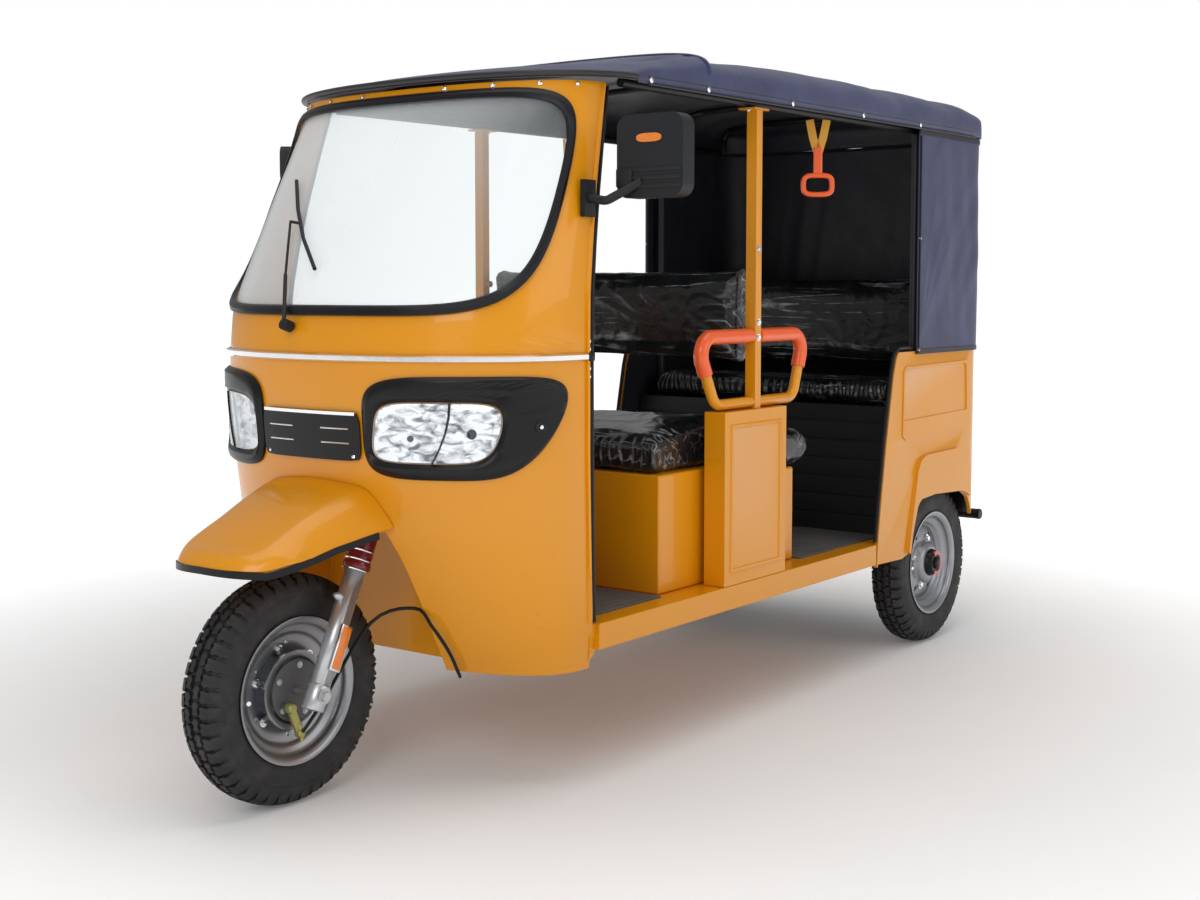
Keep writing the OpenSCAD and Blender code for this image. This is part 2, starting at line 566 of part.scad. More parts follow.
module rear_backrest() color(black) placed() rotate([90, 0, 0]) linear_extrude(height = 900, center = true)
    cushion_profile([-100, 866], [0, 866], [-30, 1190], [-120, 1190], 30);

module rear_body() color(yellow) placed() {
    rear_shell();
    arch_flare();
    side_emboss();
}

// height of a bow's centre, under the canvas
function under(x, y) = roof_high(x, y / roof_half) - 20;
module canopy_frame() color(black) placed() {
    // rails along the sides and bows across
    both() rod([-180, 472, 1622], [1690, 452, 1612], 22);
    for (x = [1610, 1412, 800, 180, -180]) tube(concat([[x, -452, 1618]], [for (y = [-448, -300, 0, 300, 448])
        [x, y, under(x, y)]], [[x, 452, 1618]]), 20, 38);
}

module canopy_roof() color(navy) placed() roof();

module canopy_curtains() color(navy) placed() translate([0, 0, 934]) linear_extrude(height = 1626 - 934)
    difference() {
        plan_wall(4, 3, 223);
    }

module hanging_straps() color(orange) placed() both() translate([745, 446, 0]) rotate([0, 0, 127]) {
    // webbing over the side rail and a ring handle
    box([-14, -2, 1480], [14, 2, 1604]);
    box([-9, -5, 1452], [9, 5, 1530]);
    translate([0, 0, 1426]) rotate([90, 0, 0]) difference() {
        translate([0, 0, -8]) linear_extrude(height = 16) {
            square([54, 68], center = true);
            square([96, 30], center = true);
            for (sx = [-1, 1], sy = [-1, 1]) translate([sx * 27, sy * 13]) circle(r = 21);
        }
        translate([0, 0, -10]) linear_extrude(height = 20) {
            square([44, 38], center = true);
            square([64, 18], center = true);
            for (sx = [-1, 1], sy = [-1, 1]) translate([sx * 21, sy * 8]) circle(r = 11);
        }
    }
}

module tail_lamps() color([0.6, 0.03, 0.03]) placed() both() {
    box([tail_x - 34, 300, 470], [tail_x - 0.5, 380, 540]);
}

module rear_bumper() color(black) placed() {
    rod([-373, -462, 371], [-373, 462, 371], 34);
    both() box([-373, 236, 362], [-300.5, 262, 380]);
}

module drive_motor() color([0.3, 0.31, 0.33]) placed() {
    translate([40, 0, 257]) {
        rotate([0, 90, 0]) cylinder(h = 250, d = 176);
        box([-90, -85, -85], [10, 85, 85]);
    }
}

module rear_axle() color(black) placed() {
    for (s = [-1, 1]) {
        rod([0, s * 86, 257], [0, s * 355, 257], 62);
        rod([0, s * 355, 257], [0, s * (rear_track_half + 18), 257], 30);
        // leaf spring with its hangers
        translate([0, s * 300, 0]) {
            box([-300, -25, 286], [300, 25, 297]);
            box([-210, -25, 296], [210, 25, 304]);
            box([-120, -25, 303], [120, 25, 311]);
            for (x = [-290, 262]) box([x, -23, 296], [x + 28, 23, 372]);
        }
    }
}

// ---- steering ----
leg_lo = [wheelbase, 0, tyre_r];
module steering_fork() color(steel) placed() {
    for (s = [-1, 1]) {
        rod(leg_lo + [0, s * leg_y, 0] - stem_up * 28, leg_lo + [0, s * leg_y, 0] + stem_up * 285, 46);
        rod(leg_lo + [0, s * leg_y, 0] + stem_up * 270, leg_lo + [0, s * leg_y, 0] + stem_up * 411, 34);
        // amber side reflector
        rod(leg_lo + [0, s * (leg_y + 10), 0] + stem_up * 60, leg_lo + [0, s * (leg_y + 10), 0] + stem_up * 150, 30);
    }
    // axle, crown and stem
    rod(leg_lo + [0, -leg_y, 0], leg_lo + [0, leg_y, 0], 16);
    crown();
    aim([stem_x, 0, tyre_r] + stem_up * 370, stem_up) cylinder(h = 418, d = 30);
}
module crown() {
    for (s = [-1, 1]) rod(leg_lo + [0, s * leg_y, 0] + stem_up * 388, leg_lo + [0, s * leg_y, 0] + stem_up * 412, 56);
    translate(leg_lo) rotate([0, -rake, 0]) translate([0, 0, 390]) box([-48, -leg_y, 0], [22, leg_y, 20]);
}

module handlebar() color(black) placed() {
    p = [stem_x, 0, tyre_r] + stem_up * 800;
    difference() {
        aim(p - stem_up * 26, stem_up) cylinder(h = 56, d = 54);
        aim(p - stem_up * 30, stem_up) cylinder(h = 24, r = 15.2);
    }
    translate(p) tube([[-120, bar_half, 34], [-46, bar_half * 0.55, 44], [0, 90, 10], [0, -90, 10],
        [-46, -bar_half * 0.55, 44], [-120, -bar_half, 34]], 24, 40);
}

module fork_boots() color([0.3, 0.04, 0.05]) placed() for (s = [-1, 1]) difference() {
    rod(leg_lo + [0, s * leg_y, 0] + stem_up * 290, leg_lo + [0, s * leg_y, 0] + stem_up * 380, 56);
    rod(leg_lo + [0, s * leg_y, 0] + stem_up * 280, leg_lo + [0, s * leg_y, 0] + stem_up * 390, 35.2);
}

module brake_plate() color([0.35, 0.36, 0.38]) placed() {
    difference() {
        rod([wheelbase, 35.5, tyre_r], [wheelbase, 41, tyre_r], 138);
        rod([wheelbase, 20, tyre_r], [wheelbase, 60, tyre_r], 16.4);
    }
    rod([wheelbase + 34, 41, tyre_r - 30], [wheelbase + 34, 60, tyre_r - 30], 16);
    rod([wheelbase + 34, 56, tyre_r - 30], [wheelbase + 8, 56, tyre_r - 92], 12);
}

module brake_cable() color(black) placed()
    tube([[wheelbase + 8, 68, tyre_r - 88], [wheelbase - 46, 78, 232], [wheelbase - 150, 122, 392], [2129, 206, 426],
        [2120, 250, 388], [2084, 266, 328], [2060, 268, 284], [2044, 264, 262]], 8, 16);

module front_tyre() color(black) placed() translate([wheelbase, 0, tyre_r]) tyre_solid();
module front_rim() color(steel) placed() translate([wheelbase, 0, tyre_r]) front_wheel_rim();
module rear_left_tyre() color(black) placed() translate([0, rear_track_half, tyre_r]) tyre_solid();
module rear_left_rim() color(steel) placed() translate([0, rear_track_half, tyre_r]) rear_wheel_rim();
module rear_right_tyre() color(black) placed() translate([0, -rear_track_half, tyre_r]) tyre_solid();
module rear_right_rim() color(steel) placed() translate([0, -rear_track_half, tyre_r]) mirror([0, 1, 0]) rear_wheel_rim();

chassis_frame();
floor_pan();
nose_panel();
windscreen_surround();
windscreen();
rubber_seals();
chrome_strip();
headlamp_bezels();
headlamp_lenses();
grille_panel();
front_fender();
wheel_well();
dashboard();
wiper();
mirrors();
seat_box();
driver_cushion();
front_backrest();
side_panels();
door_posts();
hoop_grips();
facing_cushion();
rear_bench_base();
rear_cushion();
rear_backrest();
rear_body();
canopy_frame();
canopy_roof();
canopy_curtains();
hanging_straps();
tail_lamps();
rear_bumper();
drive_motor();
rear_axle();
steering_fork();
handlebar();
fork_boots();
brake_plate();
brake_cable();
front_tyre();
front_rim();
rear_left_tyre();
rear_left_rim();
rear_right_tyre();
rear_right_rim();
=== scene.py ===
"""Looks for a three-wheeled auto rickshaw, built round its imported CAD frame. Metres, +X forward, +Z up."""
import json
import math
import random

import bmesh
import bpy
from mathutils import Matrix, Vector, noise


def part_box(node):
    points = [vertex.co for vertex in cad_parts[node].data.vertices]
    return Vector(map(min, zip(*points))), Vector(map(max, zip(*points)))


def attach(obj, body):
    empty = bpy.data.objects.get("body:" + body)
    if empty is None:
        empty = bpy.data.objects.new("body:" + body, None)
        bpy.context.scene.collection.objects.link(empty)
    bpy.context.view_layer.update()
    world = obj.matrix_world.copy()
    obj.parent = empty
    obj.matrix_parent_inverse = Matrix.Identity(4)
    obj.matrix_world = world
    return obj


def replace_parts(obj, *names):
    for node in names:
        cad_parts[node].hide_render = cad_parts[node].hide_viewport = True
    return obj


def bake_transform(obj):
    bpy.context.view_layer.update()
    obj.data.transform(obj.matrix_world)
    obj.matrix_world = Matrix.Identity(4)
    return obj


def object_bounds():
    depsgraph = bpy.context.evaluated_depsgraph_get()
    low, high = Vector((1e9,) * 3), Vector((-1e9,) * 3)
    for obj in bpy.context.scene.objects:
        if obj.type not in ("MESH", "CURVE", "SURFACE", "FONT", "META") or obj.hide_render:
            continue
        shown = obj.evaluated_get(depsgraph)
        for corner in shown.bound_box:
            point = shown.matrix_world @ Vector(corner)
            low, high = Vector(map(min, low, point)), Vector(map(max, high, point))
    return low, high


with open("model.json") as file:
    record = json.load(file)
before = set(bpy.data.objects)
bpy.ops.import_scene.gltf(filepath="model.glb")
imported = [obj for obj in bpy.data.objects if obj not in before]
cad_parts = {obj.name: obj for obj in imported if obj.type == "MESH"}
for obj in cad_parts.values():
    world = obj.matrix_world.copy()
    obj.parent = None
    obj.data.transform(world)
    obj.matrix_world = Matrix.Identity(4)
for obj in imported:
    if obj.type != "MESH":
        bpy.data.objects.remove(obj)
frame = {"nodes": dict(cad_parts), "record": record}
CAD_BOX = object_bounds()
NODES = frame["nodes"]
random.seed(7)

# ---- driving dimensions, metres, measured from the rear axle ----
MID = -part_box("rear_left_tyre")[0].x - (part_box("rear_left_tyre")[1].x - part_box("rear_left_tyre")[0].x) / 2
WHEELBASE = (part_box("front_tyre")[0].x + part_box("front_tyre")[1].x) / 2 + MID
TYRE_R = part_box("front_tyre")[1].z / 2
HALF_W = 0.500
SEAM_Z = 0.987
RAKE = math.radians(25)
STEM = Vector((-math.sin(RAKE), 0, math.cos(RAKE)))
TRACK = 0.418
LEG_Y = 0.106
FLOOR_Z = 0.378


def at(x, y, z):
    """A place given in millimetres from the rear axle, as a point of the part's frame."""
    return Vector((x / 1000 - MID, y / 1000, z / 1000))


def lookup(value, rows):
    for (a, p), (b, q) in zip(rows, rows[1:]):
        if value <= b:
            return p + (q - p) * max(0.0, (value - a) / (b - a))
    return rows[-1][1]


def spow(value, power):
    return math.copysign(abs(value) ** power, value)


# ---- camera, light and floor ----
def camera():
    data = bpy.data.cameras.new("camera")
    data.lens = 47.2
    data.sensor_width = 36
    data.shift_y = -0.0363
    eye = bpy.data.objects.new("camera", data)
    yaw, pitch = math.radians(-143.18), math.radians(-4.33)
    look = Vector((math.cos(yaw) * math.cos(pitch), math.sin(yaw) * math.cos(pitch), math.sin(pitch)))
    eye.location = (3.5579, 2.6156, 1.1406)
    eye.rotation_euler = look.to_track_quat("-Z", "Y").to_euler()
    bpy.context.scene.collection.objects.link(eye)
    bpy.context.scene.camera = eye


def area_light(name, place, aim, size, power, colour=(1, 1, 1)):
    data = bpy.data.lights.new(name, "AREA")
    data.shape = "RECTANGLE"
    data.size, data.size_y = size
    data.energy = power
    data.color = colour
    lamp = bpy.data.objects.new(name, data)
    lamp.location = place
    lamp.rotation_euler = (Vector(aim) - Vector(place)).to_track_quat("-Z", "Y").to_euler()
    bpy.context.scene.collection.objects.link(lamp)


def studio():
    """White surroundings that light the object softly, and read as plain white to the camera."""
    world = bpy.data.worlds.new("studio")
    world.use_nodes = True
    nodes, links = world.node_tree.nodes, world.node_tree.links
    seen = nodes.new("ShaderNodeLightPath")
    strength = nodes.new("ShaderNodeMapRange")
    strength.inputs["To Min"].default_value = 0.40
    strength.inputs["To Max"].default_value = 1.0
    links.new(seen.outputs["Is Camera Ray"], strength.inputs["Value"])
    nodes["Background"].inputs["Color"].default_value = (1, 1, 1, 1)
    links.new(strength.outputs["Result"], nodes["Background"].inputs["Strength"])
    bpy.context.scene.world = world
    bpy.context.scene.view_settings.view_transform = "Standard"
    area_light("overhead", (0.4, 0.6, 5.2), (0, 0, 0.8), (5.0, 4.0), 105)
    area_light("front_left", (5.2, 2.2, 3.4), (0.6, 0, 0.9), (2.4, 2.4), 66)
    area_light("side", (-0.6, 5.4, 2.4), (-0.2, 0, 0.8), (4.5, 1.8), 40)
    bm = bmesh.new()
    bmesh.ops.create_grid(bm, x_segments=1, y_segments=1, size=60)
    mesh = bpy.data.meshes.new("studio_floor")
    bm.to_mesh(mesh)
    bm.free()
    floor = bpy.data.objects.new("studio_floor", mesh)
    bpy.context.scene.collection.objects.link(floor)
    mesh.materials.append(floor_with_painted_glow())


# ---- finishes ----
class Tree:
    """Adds nodes to one material and links them in order."""

    def __init__(self, name):
        self.material = bpy.data.materials.new(name)
        self.material.use_nodes = True
        self.nodes = self.material.node_tree.nodes
        self.links = self.material.node_tree.links
        self.shader = self.nodes["Principled BSDF"]
        self.place = self.add("ShaderNodeTexCoord").outputs["Object"]
        self.last_bump = None

    def add(self, kind, **values):
        node = self.nodes.new(kind)
        for key, value in values.items():
            if key in node.inputs:
                node.inputs[key].default_value = value
            else:
                setattr(node, key, value)
        return node

    def link(self, source, target):
        self.links.new(source, target)

    def mapped(self, scale, turn=(0, 0, 0)):
        node = self.add("ShaderNodeMapping")
        node.inputs["Scale"].default_value = scale
        node.inputs["Rotation"].default_value = turn
        self.link(self.place, node.inputs["Vector"])
        return node.outputs["Vector"]

    def noise(self, scale, detail=3, stretch=(1, 1, 1), kind="FBM", distortion=0.0, turn=(0, 0, 0)):
        node = self.add("ShaderNodeTexNoise", noise_type=kind)
        node.inputs["Scale"].default_value = scale
        node.inputs["Detail"].default_value = detail
        node.inputs["Distortion"].default_value = distortion
        self.link(self.mapped(stretch, turn), node.inputs["Vector"])
        return node.outputs["Factor"] if "Factor" in node.outputs else node.outputs["Fac"]

    def ramp(self, source, low, high, a=(0, 0, 0), b=(1, 1, 1)):
        node = self.add("ShaderNodeValToRGB")
        node.color_ramp.elements[0].position = low
        node.color_ramp.elements[1].position = high
        node.color_ramp.elements[0].color = (*a, 1)
        node.color_ramp.elements[1].color = (*b, 1)
        self.link(source, node.inputs["Fac"])
        return node.outputs["Color"]

    def level(self, source, low, high):
        node = self.add("ShaderNodeMapRange")
        node.inputs["To Min"].default_value = low
        node.inputs["To Max"].default_value = high
        self.link(source, node.inputs["Value"])
        return node.outputs["Result"]

    def math(self, kind, a, b):
        node = self.add("ShaderNodeMath", operation=kind)
        for slot, value in ((0, a), (1, b)):
            if isinstance(value, (int, float)):
                node.inputs[slot].default_value = value
            else:
                self.link(value, node.inputs[slot])
        return node.outputs["Value"]

    def mix(self, factor, a, b):
        node = self.add("ShaderNodeMix", data_type="RGBA")
        self.link(factor, node.inputs["Factor"])
        for slot, value in ((6, a), (7, b)):
            if isinstance(value, tuple):
                node.inputs[slot].default_value = (*value, 1)
            else:
                self.link(value, node.inputs[slot])
        return node.outputs[2]

    def bump(self, source, strength, distance):
        node = self.add("ShaderNodeBump")
        node.inputs["Strength"].default_value = strength
        node.inputs["Distance"].default_value = distance
        self.link(source, node.inputs["Height"])
        if self.last_bump:
            self.link(self.last_bump, node.inputs["Normal"])
        self.last_bump = node.outputs["Normal"]
        self.link(self.last_bump, self.shader.inputs["Normal"])

    def colour(self, source):
        self.link(source, self.shader.inputs["Base Color"])

    def rough(self, source):
        self.link(source, self.shader.inputs["Roughness"])


def finish(name, base, roughness, metal=0.0, coat=0.0, vary=0.06, grain=None, specular=0.5):
    """A finish with a slight drift of colour and gloss. grain is (scale, strength, depth)."""
    tree = Tree(name)
    tree.shader.inputs["Metallic"].default_value = metal
    tree.shader.inputs["Coat Weight"].default_value = coat
    tree.shader.inputs["Coat Roughness"].default_value = 0.06
    tree.shader.inputs["Specular IOR Level"].default_value = specular
    drift = tree.noise(3.5, 4)
    tree.colour(tree.mix(drift, tuple(c * (1 - vary) for c in base), tuple(min(1, c * (1 + vary)) for c in base)))
    tree.rough(tree.level(tree.noise(14, 5), max(0.02, roughness - 0.05), roughness + 0.05))
    if grain:
        tree.bump(tree.noise(grain[0], 4), grain[1], grain[2])
    return tree.material


def yellow_paint():
    """Two coats of enamel: an orange-peel skin, darker dust flecks at random and a faint drift of tone."""
    tree = Tree("yellow_enamel")
    tree.shader.inputs["Specular IOR Level"].default_value = 0.35
    tree.shader.inputs["Coat Weight"].default_value = 0.35
    tree.shader.inputs["Coat Roughness"].default_value = 0.05
    tone = tree.mix(tree.noise(2.2, 3), (0.69, 0.262, 0.001), (0.76, 0.300, 0.002))
    tree.colour(tree.mix(tree.ramp(tree.noise(30, 8), 0.62, 0.9), tone, (0.64, 0.25, 0.008)))
    tree.rough(tree.level(tree.noise(9, 6), 0.26, 0.42))
    tree.bump(tree.noise(420, 2), 0.035, 0.0006)
    return tree.material


def floor_with_painted_glow():
    """Pale floor that glows with a painted light: its emission is faint round the object, where the lamps' shadow
    stays, and rises further out so the floor fades into the white surroundings.
    """
    tree = Tree("floor_with_painted_glow")
    tree.colour(tree.mix(tree.noise(3, 2), (0.86, 0.86, 0.86), (0.90, 0.90, 0.90)))
    tree.rough(tree.level(tree.noise(8, 2), 0.7, 0.8))
    # painted light: the floor's glow grows with distance from the object
    away = tree.add("ShaderNodeVectorMath", operation="LENGTH")
    tree.link(tree.place, away.inputs[0])
    fade = tree.add("ShaderNodeMapRange", interpolation_type="SMOOTHSTEP")
    fade.inputs["From Min"].default_value = 0.8
    fade.inputs["From Max"].default_value = 4.2
    fade.inputs["To Min"].default_value = 0.05
    fade.inputs["To Max"].default_value = 0.75
    tree.link(away.outputs["Value"], fade.inputs["Value"])
    tree.shader.inputs["Emission Color"].default_value = (1, 1, 1, 1)
    tree.link(fade.outputs["Result"], tree.shader.inputs["Emission Strength"])
    return tree.material


def film_wrapped_vinyl():
    """Black vinyl under a loose clear film: where the film's pulled creases would catch the light, a painted highlight
    of long pale streaks is mixed into the colour, and the same streaks bump the surface.
    """
    tree = Tree("film_wrapped_vinyl")
    tree.shader.inputs["Specular IOR Level"].default_value = 0.3
    tree.shader.inputs["Coat Weight"].default_value = 0.45
    tree.shader.inputs["Coat Roughness"].default_value = 0.14
    # painted highlights: pale streaks along the film's creases, mixed into the colour below
    painted_highlight_streaks = None
    for turn, size in (((0.55, 0.1, 0.3), 4.6), ((-0.60, 0.2, -0.3), 5.4), ((0.25, 0.9, 0.2), 6.1)):
        folds = tree.noise(size, 0, (7.5, 0.40, 7.5), distortion=0.06, turn=turn)
        edge = tree.math("ABSOLUTE", tree.math("SUBTRACT", folds, 0.5), 0)
        patch = tree.noise(size * 0.7, 1, (1.6, 0.7, 1.6), turn=turn)
        painted_highlight_lines = tree.math("MULTIPLY", tree.ramp(edge, 0.0, 0.05, (1, 1, 1), (0, 0, 0)), tree.ramp(patch, 0.54, 0.72))
        painted_highlight_streaks = painted_highlight_lines if painted_highlight_streaks is None else tree.math("MAXIMUM", painted_highlight_streaks, painted_highlight_lines)
    broken = tree.ramp(tree.noise(38, 5, (1, 0.5, 1)), 0.40, 0.66)
    painted_highlight_streaks = tree.math("MULTIPLY", painted_highlight_streaks, broken)
    # painted sheen: broad soft patches a little paler than the black vinyl
    soft_painted_sheen = tree.ramp(tree.noise(7, 6, (1, 1, 2.0), distortion=1.2), 0.40, 0.90, (0.005, 0.006, 0.007),
                     (0.022, 0.025, 0.029))
    tree.colour(tree.mix(painted_highlight_streaks, soft_painted_sheen, (0.62, 0.66, 0.68)))
    tree.rough(tree.level(tree.noise(20, 5), 0.16, 0.40))
    tree.bump(painted_highlight_streaks, 0.25, 0.002)
    tree.bump(tree.noise(22, 4, (1.4, 1, 1.8), distortion=1.0), 0.10, 0.002)
    return tree.material


def canvas(name, dark, light):
    """Coated canvas: plain weave, a faded drift and soft rubbed creases."""
    tree = Tree(name)
    tree.shader.inputs["Sheen Weight"].default_value = 0.12
    fade = tree.mix(tree.ramp(tree.noise(4.5, 6, (1, 1, 1), distortion=0.8), 0.3, 0.75), dark, light)
    tree.colour(fade)
    tree.rough(tree.level(tree.noise(12, 4), 0.40, 0.58))
    for stretch in ((1, 0, 0), (0, 1, 1)):
        weave = tree.add("ShaderNodeTexWave", wave_type="BANDS", bands_direction="DIAGONAL")
        weave.inputs["Scale"].default_value = 260
        tree.link(tree.mapped(stretch), weave.inputs["Vector"])
        tree.bump(weave.outputs["Fac"], 0.12, 0.0004)
    tree.bump(tree.noise(16, 6, distortion=1.0), 0.22, 0.006)
    return tree.material


def tyre_rubber():
    tree = Tree("tyre_rubber")
    dust = tree.ramp(tree.noise(22, 8), 0.5, 0.85)
    tree.colour(tree.mix(dust, (0.014, 0.014, 0.015), (0.045, 0.043, 0.041)))
    tree.rough(tree.level(tree.noise(35, 5), 0.5, 0.78))
    tree.bump(tree.noise(240, 4), 0.22, 0.0008)
    return tree.material


def clear_glass(name, tint, alpha, roughness=0.03):
    """A thin pane: mostly see-through, with gloss at glancing angles."""
    tree = Tree(name)
    clear = tree.add("ShaderNodeBsdfTransparent")
    clear.inputs["Color"].default_value = (*tint, 1)
    mixed = tree.add("ShaderNodeMixShader")
    edge = tree.add("ShaderNodeLayerWeight")
    edge.inputs["Blend"].default_value = 0.35
    tree.link(tree.level(edge.outputs["Facing"], alpha, 0.85), mixed.inputs["Fac"])
    tree.link(clear.outputs["BSDF"], mixed.inputs[1])
    tree.link(tree.shader.outputs["BSDF"], mixed.inputs[2])
    tree.link(mixed.outputs["Shader"], tree.nodes["Material Output"].inputs["Surface"])
    tree.colour(tree.mix(tree.noise(6, 3), (0.80, 0.85, 0.87), (0.90, 0.93, 0.95)))
    tree.rough(tree.level(tree.noise(30, 3), roughness, roughness + 0.04))
    return tree.material


def faceted_reflector():
    """Vacuum-metallised bowl with a painted reflection: its colour is painted bright in most facets and dark in a few,
    standing in for the different places each facet mirrors.
    """
    tree = Tree("faceted_reflector")
    tree.shader.inputs["Metallic"].default_value = 0.85
    cells = tree.add("ShaderNodeTexVoronoi", feature="F1")
    cells.inputs["Scale"].default_value = 34
    tree.link(tree.mapped((1, 0.7, 1.5), (0.5, 0.2, 0.4)), cells.inputs["Vector"])
    # painted reflection: light and dark facets painted into the colour
    painted_reflection_mask = tree.noise(26, 3, (1, 1, 2.2), distortion=0.8, turn=(0.6, 0, 0.3))
    tree.colour(tree.ramp(painted_reflection_mask, 0.34, 0.56, (0.10, 0.10, 0.11), (0.96, 0.97, 1.0)))
    tree.rough(tree.level(tree.noise(60, 3), 0.10, 0.24))
    tree.bump(cells.outputs["Distance"], 0.12, 0.003)
    return tree.material


def ribbed_mat():
    tree = Tree("ribbed_floor_mat")
    tree.colour(tree.mix(tree.noise(9, 6), (0.055, 0.055, 0.056), (0.13, 0.125, 0.12)))
    tree.rough(tree.level(tree.noise(25, 5), 0.5, 0.75))
    for direction in ("X", "Y"):
        wave = tree.add("ShaderNodeTexWave", wave_type="BANDS", bands_direction=direction)
        wave.inputs["Scale"].default_value = 12
        tree.link(tree.mapped((1, 1, 1)), wave.inputs["Vector"])
        tree.bump(wave.outputs["Fac"], 0.6, 0.003)
    return tree.material


PAINT = yellow_paint()
VINYL = film_wrapped_vinyl()
NAVY = canvas("navy_canvas", (0.015, 0.020, 0.072), (0.034, 0.042, 0.120))
LINING = canvas("black_canvas_lining", (0.006, 0.007, 0.013), (0.012, 0.013, 0.022))
PIPING = finish("black_piping", (0.012, 0.012, 0.016), 0.42, grain=(300, 0.2, 0.0006))
TYRE = tyre_rubber()
GLASS = clear_glass("screen_glass", (0.97, 0.99, 0.99), 0.03)
LENS = clear_glass("lamp_lens", (0.95, 0.97, 0.98), 0.08)
REFLECTOR = faceted_reflector()
MAT = ribbed_mat()
CHROME = finish("chrome", (0.86, 0.86, 0.88), 0.10, 1.0, grain=(60, 0.05, 0.0008))
WHEEL_GREY = finish("wheel_silver", (0.34, 0.35, 0.37), 0.34, 0.85, vary=0.15, grain=(90, 0.1, 0.0008))
FORK_SILVER = finish("fork_silver", (0.55, 0.56, 0.58), 0.30, 0.7, vary=0.1, grain=(160, 0.12, 0.0006))
GLOSS_BLACK = finish("satin_black_plastic", (0.006, 0.006, 0.007), 0.36, coat=0.08, grain=(200, 0.03, 0.0005), specular=0.22)
GRAIN_BLACK = finish("grained_black_plastic", (0.014, 0.015, 0.017), 0.46, grain=(520, 0.35, 0.0006), specular=0.25)
SEAL = finish("rubber_seal", (0.006, 0.006, 0.008), 0.36, grain=(260, 0.12, 0.0006), specular=0.25)
CHASSIS = finish("chassis_black", (0.010, 0.010, 0.011), 0.45, vary=0.2, grain=(140, 0.2, 0.0008), specular=0.3)
CAST = finish("bare_casting", (0.12, 0.12, 0.125), 0.55, 0.5, vary=0.25, grain=(220, 0.5, 0.0012))
BRASS = finish("passivated_brass", (0.42, 0.40, 0.13), 0.38, 0.8, vary=0.3, grain=(160, 0.3, 0.0008))
ORANGE = finish("orange_plastic", (0.85, 0.115, 0.018), 0.30, coat=0.2, grain=(260, 0.12, 0.0006))
WEBBING = finish("yellow_webbing", (0.70, 0.34, 0.03), 0.6, grain=(900, 0.5, 0.0008))
AMBER = finish("amber_reflector", (0.78, 0.20, 0.015), 0.14, coat=0.8, grain=(420, 0.7, 0.0012))
RED = finish("red_lamp_plastic", (0.50, 0.008, 0.010), 0.16, coat=0.8, grain=(420, 0.5, 0.001))
MAROON = finish("maroon_boot_rubber", (0.17, 0.008, 0.018), 0.24, coat=0.35, grain=(160, 0.1, 0.0008))
WHITE_LENS = finish("white_lamp_plastic", (0.80, 0.80, 0.78), 0.16, coat=0.6, grain=(420, 0.5, 0.001))
MIRROR_GLASS = finish("mirror_glass", (0.82, 0.84, 0.86), 0.04, 1.0, vary=0.02)


# ---- making pieces ----
def put(bm, name, body, *finishes, slot=None, smooth=35, outward=True):
    """Turns a bmesh into a piece on a body, or on none when no body is given. Edges sharper than smooth degrees stay
    crisp.
    """
    bmesh.ops.remove_doubles(bm, verts=bm.verts, dist=1e-6)
    if outward:
        bmesh.ops.recalc_face_normals(bm, faces=bm.faces)
    mesh = bpy.data.meshes.new(name)
    bm.to_mesh(mesh)
    bm.free()
    for material in finishes:
        mesh.materials.append(material)
    mesh.polygons.foreach_set("use_smooth", [True] * len(mesh.polygons))
    mesh.set_sharp_from_angle(angle=math.radians(smooth))
    piece = bpy.data.objects.new(name, mesh)
    bpy.context.scene.collection.objects.link(piece)
    if body:
        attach(piece, body)
    return piece


def body_of_node(node):
    for body, members in frame["record"]["behaviour"]["bodies"].items():
        if node in members:
            return body
    return "body"


def slot_of_node(node):
    return next(p["material_slot"] for p in frame["record"]["subparts"] if p["node"] == node)


def dressed(node, *finishes, edge=0.0, levels=0, smooth=35):
    """A merged copy of a CAD node with soft edges: bevelled by edge, or subdivided between its sharp edges."""
    bm = bmesh.new()
    bm.from_mesh(NODES[node].data)
    bmesh.ops.remove_doubles(bm, verts=bm.verts, dist=2e-5)
    if edge:
        bmesh.ops.dissolve_limit(bm, angle_limit=math.radians(0.6), verts=bm.verts, edges=bm.edges)
    if levels:
        bmesh.ops.join_triangles(bm, faces=bm.faces, angle_face_threshold=math.radians(30),
                                 angle_shape_threshold=math.radians(60))
        crease = bm.edges.layers.float.new("crease_edge")
        for e in bm.edges:
            if len(e.link_faces) == 2 and e.calc_face_angle(0) > math.radians(40):
                e[crease] = 1.0
    piece = put(bm, node + "_finished", body_of_node(node), *finishes, slot=slot_of_node(node), smooth=smooth,
                outward=False)
    if edge:
        bevel = piece.modifiers.new("edges", "BEVEL")
        bevel.width = edge
        bevel.segments = 2
        bevel.limit_method = "ANGLE"
        bevel.angle_limit = math.radians(38)
        bevel.harden_normals = True
    if levels:
        soften = piece.modifiers.new("skin", "SUBSURF")
        soften.levels = soften.render_levels = levels
    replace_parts(piece, node)
    return piece


def ring(bm, outline, centre, axis="Y", steps=48):
    """Spins an outline of (radius, along) points about an axis through centre."""
    verts = []
    for r, along in outline:
        verts.append(bm.verts.new(centre + (Vector((r, along, 0)) if axis == "Y" else Vector((r, 0, along)))))
    edges = [bm.edges.new(pair) for pair in zip(verts, verts[1:])]
    bmesh.ops.spin(bm, geom=verts + edges, cent=centre, axis=(0, 1, 0) if axis == "Y" else (0, 0, 1),
                   angle=math.tau, steps=steps, use_merge=True)


